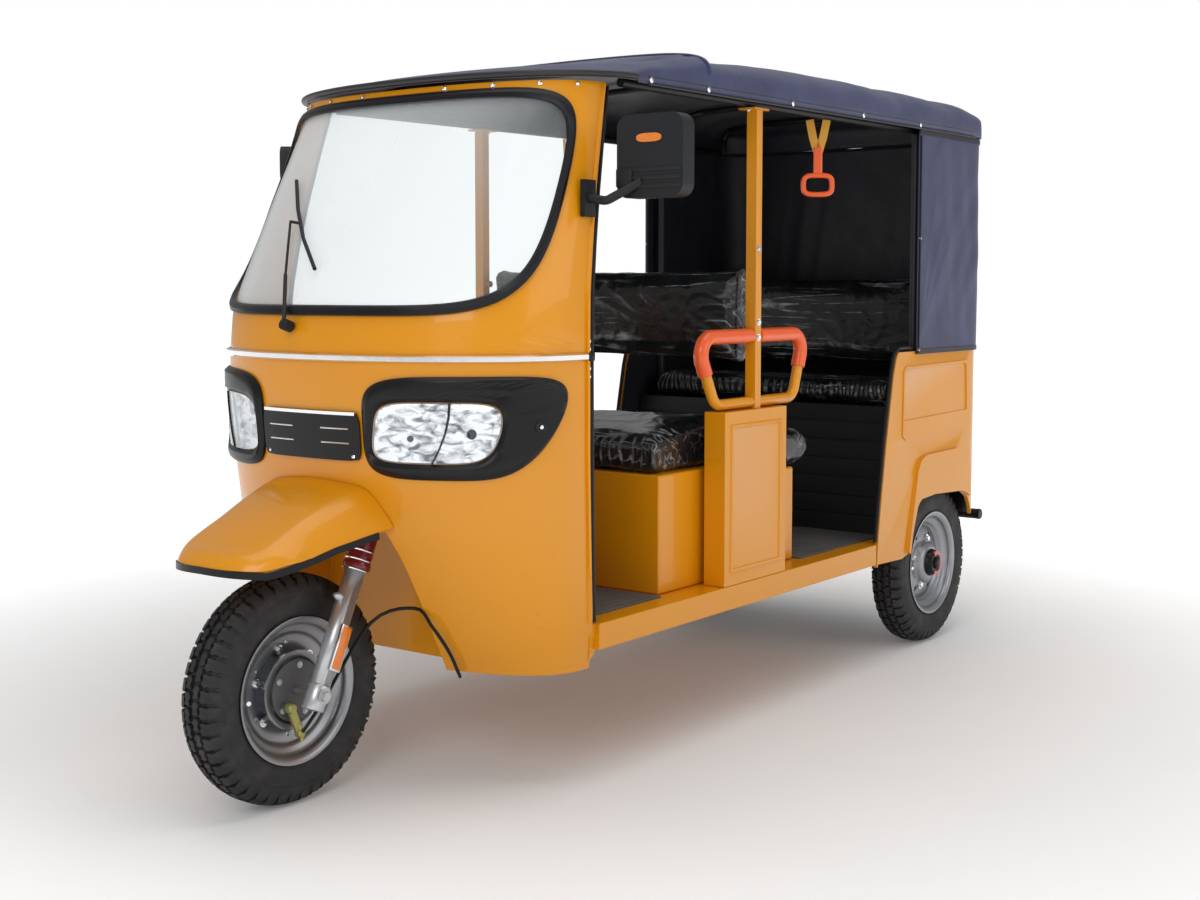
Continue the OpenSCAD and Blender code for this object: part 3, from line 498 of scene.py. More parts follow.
def sweep(bm, path, section, closed=False, normal=None):
    """Carries a closed section of (side, up) points along a path and caps the ends. A flat path may give its normal."""
    rows = []
    count = len(path)
    for i, p in enumerate(path):
        ahead = path[(i + 1) % count] if closed or i + 1 < count else p
        behind = path[i - 1] if closed or i else p
        along = (ahead - behind).normalized()
        side = normal if normal else along.cross(Vector((0, 0, 1)))
        side = side.normalized() if side.length > 0.05 else Vector((0, 1, 0))
        up = side.cross(along).normalized()
        rows.append([bm.verts.new(p + side * a + up * b) for a, b in section])
    loops = []
    for row in rows:
        loops.append([bm.edges.new((row[k], row[(k + 1) % len(row)])) for k in range(len(row))])
    pairs = list(zip(loops, loops[1:]))
    if closed:
        pairs.append((loops[-1], loops[0]))
    for a, b in pairs:
        bmesh.ops.bridge_loops(bm, edges=a + b)
    if not closed:
        bm.faces.new(rows[0])
        bm.faces.new(rows[-1])


def round_section(r, n=10):
    return [(r * math.cos(math.tau * k / n), r * math.sin(math.tau * k / n)) for k in range(n)]


def curve_through(points, steps=6):
    """Catmull-Rom points through a list of places."""
    out = []
    for i in range(len(points) - 1):
        p0 = points[max(0, i - 1)]
        p1, p2 = points[i], points[i + 1]
        p3 = points[min(len(points) - 1, i + 2)]
        for k in range(steps):
            t = k / steps
            out.append(0.5 * ((2 * p1) + (p2 - p0) * t + (2 * p0 - 5 * p1 + 4 * p2 - p3) * t * t
                              + (3 * p1 - p0 - 3 * p2 + p3) * t ** 3))
    return out + [points[-1]]


def block(bm, low, high, bevel=0.0, segments=2):
    """A box between two corners, with rounded edges."""
    made = bmesh.ops.create_cube(bm, size=1)["verts"]
    size = Vector(high) - Vector(low)
    bmesh.ops.scale(bm, verts=made, vec=size)
    bmesh.ops.translate(bm, verts=made, vec=(Vector(low) + Vector(high)) / 2)
    if bevel:
        edges = list({e for v in made for e in v.link_edges})
        made = bmesh.ops.bevel(bm, geom=edges, offset=bevel, segments=segments, profile=0.5, affect="EDGES",
                               material=-1)["verts"]
    return made


def turned(bm, start, end, profile, steps=20):
    """A turned part along start to end; profile is (share of the length, radius)."""
    axis = end - start
    verts = [bm.verts.new(Vector((r, 0, share * axis.length))) for share, r in profile]
    edges = [bm.edges.new(pair) for pair in zip(verts, verts[1:])]
    made = bmesh.ops.spin(bm, geom=verts + edges, cent=(0, 0, 0), axis=(0, 0, 1), angle=math.tau, steps=steps,
                          use_merge=True)
    island = set(verts)
    grow = list(verts)
    while grow:
        for e in grow.pop().link_edges:
            for v in e.verts:
                if v not in island:
                    island.add(v)
                    grow.append(v)
    turn = axis.to_track_quat("Z", "Y").to_matrix().to_4x4()
    bmesh.ops.transform(bm, matrix=Matrix.Translation(start) @ turn, verts=list(island))
    return made


def dome(bm, place, facing, r, height=None):
    """A rivet head or snap stud."""
    h = height or r * 0.55
    turned(bm, place, place + facing.normalized() * h, [(0, r), (0.45, r * 0.96), (0.85, r * 0.6), (1, 0)], 12)


def hex_head(bm, place, facing, r, height):
    turned(bm, place, place + facing.normalized() * height * 0.3, [(0, r * 1.5), (1, r * 1.5), (1, 0)], 16)
    turned(bm, place + facing.normalized() * height * 0.3, place + facing.normalized() * height,
           [(0, r), (0.85, r), (1, r * 0.85), (1, 0)], 6)


# ---- the nose's own surface, for what is fixed to it ----
DOOR_X = [(272, 1835), (350, 1850), (470, 1862), (750, 1868), (990, 1868), (1130, 1863), (1350, 1820),
          (1590, 1752), (1630, 1742)]
NOSE_X = [(272, 2060), (350, 2108), (470, 2160), (600, 2210), (750, 2240), (900, 2251), (990, 2252),
          (1080, 2240), (1130, 2220), (1350, 2088), (1590, 1944), (1630, 1930)]
CAB_W = [(272, -30), (300, -15), (350, -5), (470, 0), (990, 0), (1130, -3), (1350, -20), (1590, -44), (1630, -46)]
BULGE = 2.3


def skin(turn, z, out=0.0):
    """A point on the nose: turn runs 0 at the left side, 90 in front, 180 at the right. Millimetres in."""
    side = lookup(z, DOOR_X) + 20
    reach = lookup(z, NOSE_X) - side + out
    wide = 500 + lookup(z, CAB_W) + out
    t = math.radians(turn)
    return at(side + reach * abs(math.sin(t)) ** (2 / BULGE), wide * spow(math.cos(t), 2 / BULGE), z)


def outward(turn, z):
    return (skin(turn, z, 10) - skin(turn, z, 0)).normalized()


# ---- wheels ----
TREAD_PITCHES = 46


def tread_block(bm, outline, centre, turn):
    """One rubber block: outline of (arc, across) in millimetres, raised from the carcass to the tread's crown."""
    def place(arc, across, r):
        angle = turn + arc / 257
        return centre + Vector((r / 1000 * math.cos(angle), across / 1000, r / 1000 * math.sin(angle)))

    def crown(across):
        return lookup(abs(across), [(0, 256.6), (18, 255.6), (30, 252.4), (40, 248), (47, 240), (50, 230), (51.3, 219)])

    low = [bm.verts.new(place(arc, across, crown(across) - 9)) for arc, across in outline]
    top = [bm.verts.new(place(arc * 0.93, across * 0.992, crown(across * 0.98))) for arc, across in outline]
    n = len(outline)
    for k in range(n):
        bm.faces.new((low[k], low[(k + 1) % n], top[(k + 1) % n], top[k]))
    bm.faces.new(top)


def tyre(name, body, centre):
    """A block-tread tyre: a spun carcass with wavy shoulder blocks and two zigzag centre ribs."""
    bm = bmesh.new()
    half = [(0.1530, 0.0400), (0.1600, 0.0438), (0.1660, 0.0452), (0.1680, 0.0478), (0.1760, 0.0490), (0.1880, 0.0502),
            (0.2000, 0.0513), (0.2090, 0.0514), (0.2160, 0.0508), (0.2240, 0.0490), (0.2330, 0.0455),
            (0.2400, 0.0400), (0.2440, 0.0290), (0.2470, 0.0150), (0.2478, 0.0)]
    outline = half + [(r, -y) for r, y in reversed(half[:-1])]
    ring(bm, outline + [outline[0]], centre, steps=96)
    for ridge in (0.1720, 0.2110):
        for side in (1, -1):
            y = side * lookup(ridge, [(r, w) for r, w in half])
            ring(bm, [(ridge - 0.0012, y - side * 0.001), (ridge, y + side * 0.0006), (ridge + 0.0012, y - side * 0.001)],
                 centre, steps=96)
    pitch = math.tau / TREAD_PITCHES
    for i in range(TREAD_PITCHES):
        for side in (1, -1):
            turn = i * pitch + (pitch / 2 if side < 0 else 0)
            shoulder = [(-13, 27), (-4, 24), (4, 27), (13, 24), (15, 32), (12, 40), (15, 46), (13, 50.6), (5, 51.1),
                        (-8, 51.1), (-13, 50.6), (-15, 46), (-12, 40), (-15, 32)]
            middle = [(-14, 4), (-5, 8), (4, 4), (14, 8), (15, 17), (8, 21), (-2, 18), (-12, 21), (-15, 14)]
            for shape, lag in ((shoulder, 0), (middle, 0.25 * pitch)):
                tread_block(bm, [(arc, side * y) for arc, y in shape], centre, turn + lag)
    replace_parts(put(bm, name + "_treaded", body, TYRE, slot="tyre", smooth=50), name)


def lug_nuts(bm, centre, circle, face, side, count, size):
    for k in range(count):
        a = math.tau * k / count + 0.3
        p = centre + Vector((circle * math.cos(a), face, circle * math.sin(a)))
        hex_head(bm, p, Vector((0, side, 0)), size, size * 1.1)


def wheels():
    for name, body, y in (("front_tyre", "front_wheel", 0.0), ("rear_left_tyre", "rear_left_wheel", TRACK),
                          ("rear_right_tyre", "rear_right_wheel", -TRACK)):
        x = WHEELBASE - MID if body == "front_wheel" else -MID
        tyre(name, body, Vector((x, y, TYRE_R)))
    for rim in ("front_rim", "rear_left_rim", "rear_right_rim"):
        dressed(rim, WHEEL_GREY, smooth=38)
    for side, body in ((1, "rear_left_wheel"), (-1, "rear_right_wheel")):
        hub = Vector((-MID, side * TRACK, TYRE_R))
        out = Vector((0, side, 0))
        cap = bmesh.new()
        turned(cap, hub + out * 0.0305, hub + out * 0.062,
               [(0, 0.050), (0.2, 0.050), (0.35, 0.044), (0.8, 0.040), (1, 0.034), (1, 0)], 40)
        turned(cap, hub + out * 0.060, hub + out * 0.070, [(0, 0.020), (0.7, 0.019), (1, 0.014), (1, 0)], 24)
        put(cap, body + "_hub_cap", body, GLOSS_BLACK, slot="black_paint")
        clip = bmesh.new()
        arc = [hub + out * 0.058 + Vector((0.033 * math.cos(a), 0, 0.033 * math.sin(a)))
               for a in [math.radians(60 + 12 * k) for k in range(21)]]
        sweep(clip, arc, [(-0.006, -0.006), (0.006, -0.006), (0.006, 0.006), (-0.006, 0.006)])
        put(clip, body + "_hub_clip", body, RED, slot="red_lens")
        nuts = bmesh.new()
        lug_nuts(nuts, hub, 0.076, side * 0.015, side, 4, 0.009)
        turned(nuts, hub + Vector((0.132, side * 0.018, 0)), hub + Vector((0.140, side * 0.046, 0)),
               [(0, 0.004), (0.7, 0.004), (0.72, 0.0052), (1, 0.0052), (1, 0)], 10)
        put(nuts, body + "_nuts", body, CHROME, slot="steel")
    hub = Vector((WHEELBASE - MID, 0, TYRE_R))
    front = bmesh.new()
    lug_nuts(front, hub, 0.0915, 0.008, 1, 6, 0.0075)
    lug_nuts(front, hub, 0.070, -0.034, -1, 4, 0.008)
    turned(front, hub + Vector((0.128, 0.02, 0.0)), hub + Vector((0.140, 0.047, 0)),
           [(0, 0.004), (0.7, 0.004), (0.72, 0.0052), (1, 0.0052), (1, 0)], 10)
    put(front, "front_wheel_nuts", "front_wheel", CHROME, slot="steel")


# ---- steering ----
def on_leg(side, up, forward=0.0, out=0.0):
    foot = at(2333, 0, 257) + Vector((0, side * (LEG_Y + out), 0))
    return foot + STEM * up + Vector((math.cos(RAKE), 0, math.sin(RAKE))) * forward


def fork_details():
    for side, word in ((1, "left"), (-1, "right")):
        boot = bmesh.new()
        profile = [(0, 0.030), (0.05, 0.0315)]
        for k in range(4):
            profile += [(0.10 + 0.22 * k, 0.0315 - 0.0015 * k), (0.16 + 0.22 * k, 0.0300 - 0.0015 * k),
                        (0.20 + 0.22 * k, 0.0225), (0.25 + 0.22 * k, 0.0225)]
        profile += [(0.97, 0.024), (1.0, 0.021), (1.0, 0.0176), (0, 0.0235), (0, 0.030)]
        turned(boot, on_leg(side, 0.286), on_leg(side, 0.384), profile, 32)
        put(boot, "boot_" + word, "steering", MAROON, slot="boot_rubber")
        rings = bmesh.new()
        for up, r in ((0.281, 0.0305), (0.3035, 0.0322), (0.325, 0.0308)):
            turned(rings, on_leg(side, up), on_leg(side, up + 0.004),
                   [(0, 0.022), (0, r), (0.5, r + 0.001), (1, r), (1, 0.022), (0, 0.022)], 32)
        put(rings, "boot_rings_" + word, "steering", CHROME, slot="chrome")
        foot = bmesh.new()
        turned(foot, on_leg(side, -0.034), on_leg(side, 0.022),
               [(0, 0), (0, 0.0235), (0.06, 0.0255), (0.94, 0.0255), (1, 0.0235)], 28)
        hex_head(foot, on_leg(side, 0.0, 0, 0.022), Vector((0, side, 0)), 0.012, 0.012)
        turned(foot, on_leg(side, 0.215, 0.016), on_leg(side, 0.215, 0.040),
               [(0, 0.010), (0.6, 0.009), (0.8, 0.006), (1, 0.004), (1, 0)], 14)
        turned(foot, on_leg(side, 0.225, -0.016), on_leg(side, 0.225, -0.034),
               [(0, 0.008), (0.7, 0.007), (1, 0.004), (1, 0)], 14)
        put(foot, "fork_foot_" + word, "steering", FORK_SILVER, slot="steel")
        frame_bm, glow = bmesh.new(), bmesh.new()
        turn = Matrix.Rotation(-RAKE, 4, "Y")
        for bm, half_x, half_z, depth, lift in ((frame_bm, 0.0165, 0.052, 0.004, 0.0), (glow, 0.0120, 0.047, 0.003, 0.0035)):
            made = block(bm, (-half_x, -depth, -half_z), (half_x, depth, half_z), 0.0018)
            away = on_leg(side, 0.108, -0.002, 0.0245 + lift)
            bmesh.ops.transform(bm, matrix=Matrix.Translation(away) @ turn, verts=list(bm.verts))
        put(frame_bm, "reflector_frame_" + word, "steering", CHROME, slot="chrome")
        put(glow, "reflector_amber_" + word, "steering", AMBER, slot="orange_plastic")
    dressed("brake_plate", CAST, edge=0.0012)
    lever = bmesh.new()
    hub = at(2333, 0, 257)
    cam, tip = hub + Vector((0.034, 0.0585, -0.030)), hub + Vector((0.008, 0.0585, -0.092))
    turned(lever, cam + Vector((0, -0.006, 0)), cam + Vector((0, 0.010, 0)),
           [(0, 0.012), (0.8, 0.012), (1, 0.010), (1, 0)], 20)
    sweep(lever, [cam, cam.lerp(tip, 0.5), tip], [(-0.004, -0.009), (0.004, -0.009), (0.004, 0.009), (-0.004, 0.009)])
    turned(lever, tip + Vector((0, -0.006, 0)), tip + Vector((0, 0.009, 0)),
           [(0, 0.010), (0.8, 0.010), (1, 0.008), (1, 0)], 16)
    turned(lever, tip + Vector((-0.004, 0.002, -0.018)), tip + Vector((0.002, 0.002, 0.022)),
           [(0, 0), (0, 0.005), (1, 0.005), (1, 0)], 12)
    put(lever, "brake_lever", "steering", BRASS, slot="castings")
    bolts = bmesh.new()
    for k in range(5):
        a = math.tau * k / 5 + 0.5
        hex_head(bolts, hub + Vector((0.056 * math.cos(a), 0.041, 0.056 * math.sin(a))), Vector((0, 1, 0)), 0.005, 0.005)
    put(bolts, "brake_plate_bolts", "steering", FORK_SILVER, slot="steel")
    dressed("steering_fork", FORK_SILVER, smooth=40)
    dressed("fork_boots", MAROON)
    dressed("handlebar", CHASSIS, smooth=40)


BRAKE_ROUTE = [(2341, 68, 169), (2287, 78, 232), (2183, 122, 392), (2129, 206, 426), (2120, 250, 388),
               (2084, 266, 328), (2060, 268, 284), (2044, 264, 262)]


def brake_cable():
    """The outer cable runs from the lever to the nose's lower edge, swept along one fixed route and left on no body."""
    bm = bmesh.new()
    sweep(bm, curve_through([at(*p) for p in BRAKE_ROUTE], 5), round_section(0.004, 10))
    cable = put(bm, "brake_cable_sleeve", None, SEAL, slot="rubber")
    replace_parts(cable, "brake_cable")
    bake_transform(cable)


def grips_and_levers():
    top = at(2333 - 39, 0, 257) + STEM * 0.800
    for side, word in ((1, "left"), (-1, "right")):
        inner = top + Vector((-0.068, side * 0.220, 0.0415))
        outer = top + Vector((-0.120, side * 0.331, 0.034))
        grip = bmesh.new()
        profile = [(0, 0.0125), (0, 0.020), (0.05, 0.020)]
        for k in range(12):
            profile += [(0.08 + 0.07 * k, 0.0165), (0.115 + 0.07 * k, 0.0175)]
        profile += [(0.95, 0.0175), (1, 0.016), (1, 0)]
        turned(grip, inner, outer, profile, 24)
        put(grip, "grip_" + word, "steering", SEAL, slot="rubber")
        lever = bmesh.new()
        a = inner + Vector((0.02, -side * 0.02, 0.004))
        sweep(lever, curve_through([a, a + Vector((0.028, side * 0.03, -0.004)), a + Vector((0.004, side * 0.10, -0.008)),
                                    a + Vector((-0.022, side * 0.15, -0.012))], 5), round_section(0.0055, 8))
        block(lever, a - Vector((0.02, 0.018, 0.016)), a + Vector((0.02, 0.018, 0.016)), 0.006)
        put(lever, "hand_lever_" + word, "steering", GLOSS_BLACK, slot="black_plastic")


# ---- lamps, grille and bright work ----
def lamp_place(across, up, out, shape="lens"):
    """A point on the lamp: across runs -1 outboard to 1 inboard, up -1 to 1."""
    left, right, mid, half = 71.5 - 1.2 * up, 32.5 - 3 * up + 2.5 * up * up, 828, 67
    return skin(right + (left - right) * (across + 1) / 2, mid + half * up, out)


def headlamps():
    dressed("headlamp_bezels", GLOSS_BLACK, levels=2)
    lens = dressed("headlamp_lenses", LENS, levels=1)
    for mirror, word in ((1, "left"), (-1, "right")):
        bm = bmesh.new()
        bmesh.ops.create_grid(bm, x_segments=64, y_segments=28, size=1)
        for v in bm.verts:
            a, b = v.co.x, v.co.y
            k = (abs(a) ** 5 + abs(b) ** 5) ** 0.2
            reach = max(abs(a), abs(b)) / k if k > 0.001 else 1
            a, b = a * reach * 0.975, b * reach * 0.955
            bowl = min(1.0, math.hypot((a + 0.52) * 1.15, b * 0.62))
            wide = min(1.0, math.hypot((a - 0.42) * 0.85, b * 0.8))
            rim = abs(a + 0.10 + 0.05 * b)
            depth = 5.4 - 3.2 * (1 - bowl ** 2) - 2.6 * (1 - wide ** 2) + (0.9 if rim < 0.035 else 0)
            facet = 0.45 * math.cos(9 * math.atan2(b, a + 0.52)) * (bowl < 0.95)
            p = lamp_place(a, b, max(1.6, depth + facet))
            v.co = Vector((p.x, p.y * mirror, p.z))
        lit = put(bm, "reflector_" + word, "body", REFLECTOR, slot="chrome", smooth=60)
        bulbs = bmesh.new()
        for a, b, r in ((-0.52, -0.02, 0.011), (0.42, -0.18, 0.007)):
            p = lamp_place(a, b, 3.0)
            q = lamp_place(a, b, 6.9)
            p.y, q.y = p.y * mirror, q.y * mirror
            turned(bulbs, p, q, [(0, r), (0.6, r), (1, r * 0.6), (1, 0)], 16)
        put(bulbs, "bulbs_" + word, "body", GLOSS_BLACK, slot="black_plastic")
        divider = bmesh.new()
        line = [lamp_place(-0.10 - 0.05 * b, b, 8.8) for b in (-0.98, -0.5, 0, 0.5, 0.98)]
        line = [Vector((p.x, p.y * mirror, p.z)) for p in line]
        sweep(divider, line, [(-0.0035, -0.001), (0.0035, -0.001), (0.0035, 0.001), (-0.0035, 0.001)])
        put(divider, "lamp_divider_" + word, "body", GLOSS_BLACK, slot="black_plastic")
        screw = bmesh.new()
        p, n = skin(19, 840, 14), outward(19, 840)
        p.y, n.y = p.y * mirror, n.y * mirror
        turned(screw, p - n * 0.002, p + n * 0.0035, [(0, 0.014), (0.5, 0.014), (1, 0.0105), (0.6, 0.0085), (0.6, 0)], 24)
        put(screw, "bezel_screw_cup_" + word, "body", GRAIN_BLACK, slot="black_plastic")
        head = bmesh.new()
        dome(head, p + n * 0.0012, n, 0.0048, 0.0022)
        put(head, "bezel_screw_" + word, "body", CHROME, slot="chrome")


def along_nose(low, high, z, out, count=16):
    return [skin(low + (high - low) * k / (count - 1), z, out) for k in range(count)]


def grille_and_strips():
    dressed("grille_panel", GLOSS_BLACK, levels=1)
    dressed("chrome_strip", CHROME, levels=1)
    trim = bmesh.new()
    sweep(trim, along_nose(76.4, 103.6, 865.5, 9.2, 20), [(-0.0015, -0.0035), (0.0015, -0.0035), (0.0015, 0.0035), (-0.0015, 0.0035)])
    for low, high in ((78.5, 86.5), (93.5, 101.5)):
        for z in (832, 800):
            sweep(trim, along_nose(low, high, z, 8.8, 8), round_section(0.0022, 8))
    put(trim, "grille_bright_strips", "body", CHROME, slot="chrome")
    screws = bmesh.new()
    for turn in (77.5, 102.5):
        dome(screws, skin(turn, 771, 8.4), outward(turn, 771), 0.0045)
    for side in (1, -1):
        for z in (1022, 1004, 961, 943):
            dome(screws, at(1872, side * 500, z), Vector((0, side, 0)), 0.0055)
    put(screws, "nose_screws", "body", CHROME, slot="chrome")
    caps = bmesh.new()
    for side in (1, -1):
        block(caps, at(1862, side * 505 - 5.5, 977), at(1882, side * 505 + 5.5, 997), 0.003)
    put(caps, "strip_end_caps", "body", GLOSS_BLACK, slot="black_plastic")


def door_pillars():
    """A raised flange beside each door's rubber edging."""
    for side, word in ((1, "left"), (-1, "right")):
        line = []
        for k in range(40):
            z = 384 + (1598 - 384) * k / 39
            line.append(at(lookup(z, DOOR_X) + 13, side * (500 + lookup(z, CAB_W) + 1.2), z))
        bm = bmesh.new()
        sweep(bm, line, [(-0.006, -0.0022), (0.006, -0.0022), (0.0045, 0.0022), (-0.0045, 0.0022)])
        put(bm, "pillar_flange_" + word, "body", PAINT, slot="yellow_paint")


# ---- soft goods ----
def merged_bmesh(node):
    bm = bmesh.new()
    bm.from_mesh(NODES[node].data)
    bmesh.ops.remove_doubles(bm, verts=bm.verts, dist=2e-5)
    return bm


def swell(mesh, name, voxel, pressure, cap):
    """Voxel remesh, then cloth under pressure with no gravity, each point moving no further than cap."""
    blank = bpy.data.objects.new(name + "_blank", mesh)
    bpy.context.scene.collection.objects.link(blank)
    remesh = blank.modifiers.new("remesh", "REMESH")
    remesh.mode = "VOXEL"
    remesh.voxel_size = voxel
    graph = bpy.context.evaluated_depsgraph_get()
    mesh = bpy.data.meshes.new_from_object(blank.evaluated_get(graph))
    blank.modifiers.clear()
    blank.data = mesh
    before = [v.co.copy() for v in mesh.vertices]
    cloth = blank.modifiers.new("cloth", "CLOTH")
    cloth.settings.quality = 4
    cloth.settings.mass = 0.25
    cloth.settings.tension_stiffness = 12
    cloth.settings.compression_stiffness = 12
    cloth.settings.bending_stiffness = 0.3
    cloth.settings.use_pressure = True
    cloth.settings.uniform_pressure_force = pressure
    cloth.settings.effector_weights.gravity = 0
    cloth.point_cache.frame_start, cloth.point_cache.frame_end = 1, 20
    for step in range(1, 21):
        bpy.context.scene.frame_set(step)
    graph = bpy.context.evaluated_depsgraph_get()
    swollen = [v.co.copy() for v in blank.evaluated_get(graph).data.vertices]
    bpy.context.scene.frame_set(1)
    blank.modifiers.clear()
    for v, old, new in zip(mesh.vertices, before, swollen):
        step = new - old
        v.co = old + step * min(1.0, cap / step.length if step.length > 1e-9 else 1.0)
    bpy.data.objects.remove(blank)
    return mesh


def creases(p, seed, fine=1.0):
    """Height of the film's creases at a point: sharp-backed folds that wander across the cushion."""
    q = Vector((p.x * 1.3, p.y * 1.0, p.z * 1.6)) * 9 * fine + Vector((seed, seed * 2.1, seed * 0.7))
    warp = noise.noise_vector(q * 0.6) * 1.6
    return (1 - abs(noise.noise(q + warp))) ** 4


def cushion(node, seed, inset=0.009, cap=0.016, gather=None):
    """A foam cushion in loose film, in the space of its CAD solid."""
    low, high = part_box(node)
    centre = (low + high) / 2
    bm = merged_bmesh(node)
    for v in bm.verts:
        for axis in range(3):
            v.co[axis] -= math.copysign(inset, v.co[axis] - centre[axis])
    start = bpy.data.meshes.new(node + "_start")
    bm.to_mesh(start)
    bm.free()
    mesh = swell(start, node, 0.0095, 4.0, cap)
    bm = bmesh.new()
    bm.from_mesh(mesh)
    bmesh.ops.subdivide_edges(bm, edges=bm.edges, cuts=1, use_grid_fill=True)
    bmesh.ops.smooth_vert(bm, verts=bm.verts, factor=0.5, use_axis_x=True, use_axis_y=True, use_axis_z=True)
    bm.normal_update()
    moves = []
    for v in bm.verts:
        lift = 0.0016 * (creases(v.co, seed) - 0.35) + 0.0005 * (creases(v.co, seed + 5, 3.2) - 0.4)
        if gather:
            nearness = max(0.0, 1 - abs(v.co.x - gather) / 0.05)
            lift += 0.0045 * nearness * math.sin(v.co.y * 210 + 5 * noise.noise(v.co * 12))
        moves.append(v.normal * lift)
    for v, move in zip(bm.verts, moves):
        v.co += move
    piece = put(bm, node + "_pad", "body", VINYL, slot="vinyl", smooth=180)
    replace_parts(piece, node)


def cushions():
    cushion("driver_cushion", 1.3, gather=at(1500, 0, 0).x)
    cushion("front_backrest", 4.1)
    cushion("facing_cushion", 7.7, gather=at(682, 0, 0).x)
    cushion("rear_cushion", 9.2, gather=at(290, 0, 0).x)
    cushion("rear_backrest", 12.9)


RIDGE = [(-323, 95), (-100, 112), (250, 108), (745, 113), (964, 110), (1166, 103), (1384, 101), (1398, 131),
         (1485, 114), (1609, 86), (1766, 68), (1949, 60)]
FRONT_RISE = [(0, 13), (40, 26), (120, 52), (250, 82), (400, 112), (600, 150), (900, 200), (1200, 230), (2400, 300)]
TAIL_RISE = [(0, 4), (2, 40), (7, 66), (21, 86), (45, 104), (85, 122), (145, 142), (225, 165), (465, 215),
             (3000, 300)]
ROOF_A, ROOF_B = -60, 1500
ROOF_HALF = 510
BOW_X = 1412


def hem_height(x):
    return 1603 + 16 * min(1.0, max(0.0, (1700 - x) / 1700))


def roof_point(k, turn, lift=0.0):
    """A point of the canvas roof: k runs 0 to 1 over the tail, to 2 along the bows and to 3 over the front."""
    v = math.sin(math.radians(turn))
    wide = ROOF_HALF + lift
    front = 1697 + (252 + lift) * max(0.0, 1 - abs(v) ** 2.2) ** (1 / 2.2)
    corner = 130 + lift
    past = max(0.0, wide * abs(v) - wide + corner)
    back = -324 - lift + corner - math.sqrt(max(0.0, corner ** 2 - past ** 2))
    ends = [back, ROOF_A, ROOF_B, front]
    leg = min(2, int(k))
    x = ends[leg] + (ends[leg + 1] - ends[leg]) * (k - leg)
    side = lookup(x, RIDGE) * max(1e-6, 1 - abs(v) ** 9) ** 0.25 + lookup(x, [(1100, 40), (1390, 2)]) * (1 - v * v)
    rises = (side, lookup(front - x, FRONT_RISE), lookup(x - back, TAIL_RISE))
    return at(x, wide * v, hem_height(x) + sum(r ** -4 for r in rises) ** -0.25 + lift)


def roof_k(x):
    """The value of k that stands at x, between the two ends."""
    return 1 + (x - ROOF_A) / (ROOF_B - ROOF_A)


def roof_canvas():
    """One continuous sheet over its bows, drawn in folds from the raised bow and towards the rear corners."""
    bm = bmesh.new()
    bmesh.ops.create_grid(bm, x_segments=160, y_segments=88, size=1)
    rows = [(0, 0), (0.16, 1), (0.72, roof_k(1372)), (0.80, roof_k(1410)), (0.85, 2), (1, 3)]
    for v in bm.verts:
        u = (v.co.x + 1) / 2
        k = lookup(u, rows)
        if k < 1:
            k = k ** 1.8
        if k > 2:
            k = 3 - (3 - k) ** 1.5
        turn = 90 * v.co.y
        p = roof_point(k, turn)
        x = (p.x + MID) * 1000
        side = abs(math.sin(math.radians(turn)))
        rear = max(0.0, min(1.0, (900 - x) / 500))
        pull = noise.noise(Vector((p.x * 5.5 + p.y * 3.0 * math.copysign(1, p.y), abs(p.y) * 2.2, 3.0)))
        small = noise.noise(Vector((p.x * 13, p.y * 6, p.z * 9 + 7)))
        ripple = (4.0 * pull + 1.8 * small) * (0.35 + 0.65 * rear)
        tail = max(0.0, min(1.0, (60 - x) / 300))
        ripple += tail * 3.5 * noise.noise(Vector((p.x * 8, p.y * 11, p.z * 4 + 2)))
        fan = max(0.0, 1 - abs(x - 1520) / 180) * max(0.0, 1 - abs(side - 0.86) / 0.16)
        ripple += 5.0 * fan * math.sin(side * 62 - x * 0.004)
        edge = min(1.0, (1 - side) * 60 + 0.2)
        v.co = roof_point(k, turn, ripple * edge * (0.4 if x > 1700 else 1) + 1.0)
    roof = put(bm, "roof_sheet", "body", NAVY, LINING, slot="canvas", smooth=180)
    if sum(p.normal.z for p in roof.data.polygons) < 0:
        roof.data.flip_normals()
    thick = roof.modifiers.new("cloth_thickness", "SOLIDIFY")
    thick.thickness = 0.0022
    thick.offset = -1
    thick.material_offset = 1
    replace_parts(roof, "canopy_roof")


def roof_trim():
    """Piping along the front lip and over the raised bow, a hem line and the snap studs."""
    lip = bmesh.new()
    sweep(lip, [roof_point(3, turn, 2.5) for turn in range(-88, 89, 4)], round_section(0.0085, 10))
    put(lip, "roof_front_piping", "body", PIPING, slot="canvas")
    bow = bmesh.new()
    sweep(bow, [roof_point(roof_k(1399), turn, 1.5) for turn in range(-86, 87, 2)], round_section(0.0045, 10))
    put(bow, "roof_bow_piping", "body", NAVY, slot="canvas")
    hems = bmesh.new()
    for side in (1, -1):
        line = [at(x, side * 511.5, hem_height(x) + 20) for x in range(-170, 1661, 30)]
        sweep(hems, line, round_section(0.0012, 6))
        sweep(hems, [p - Vector((0, 0, 0.017)) for p in line], round_section(0.0030, 8))
    put(hems, "roof_hem_stitching", "body", PIPING, slot="canvas")
    studs = bmesh.new()
    for side in (1, -1):
        for x in (1650, 1407, 1000, 600, 230):
            dome(studs, at(x, side * 511, hem_height(x) + 13), Vector((0, side, 0)), 0.0075)
        for z in (1290, 950):
            dome(studs, at(214, side * 508, z), Vector((0, side, 0)), 0.007)
    for turn in (18, 38, 58, 76, 104, 122, 142, 162):
        z = 1596
        dome(studs, skin(turn, z, 1), outward(turn, z), 0.0055)
    put(studs, "snap_studs", "body", CHROME, slot="chrome")


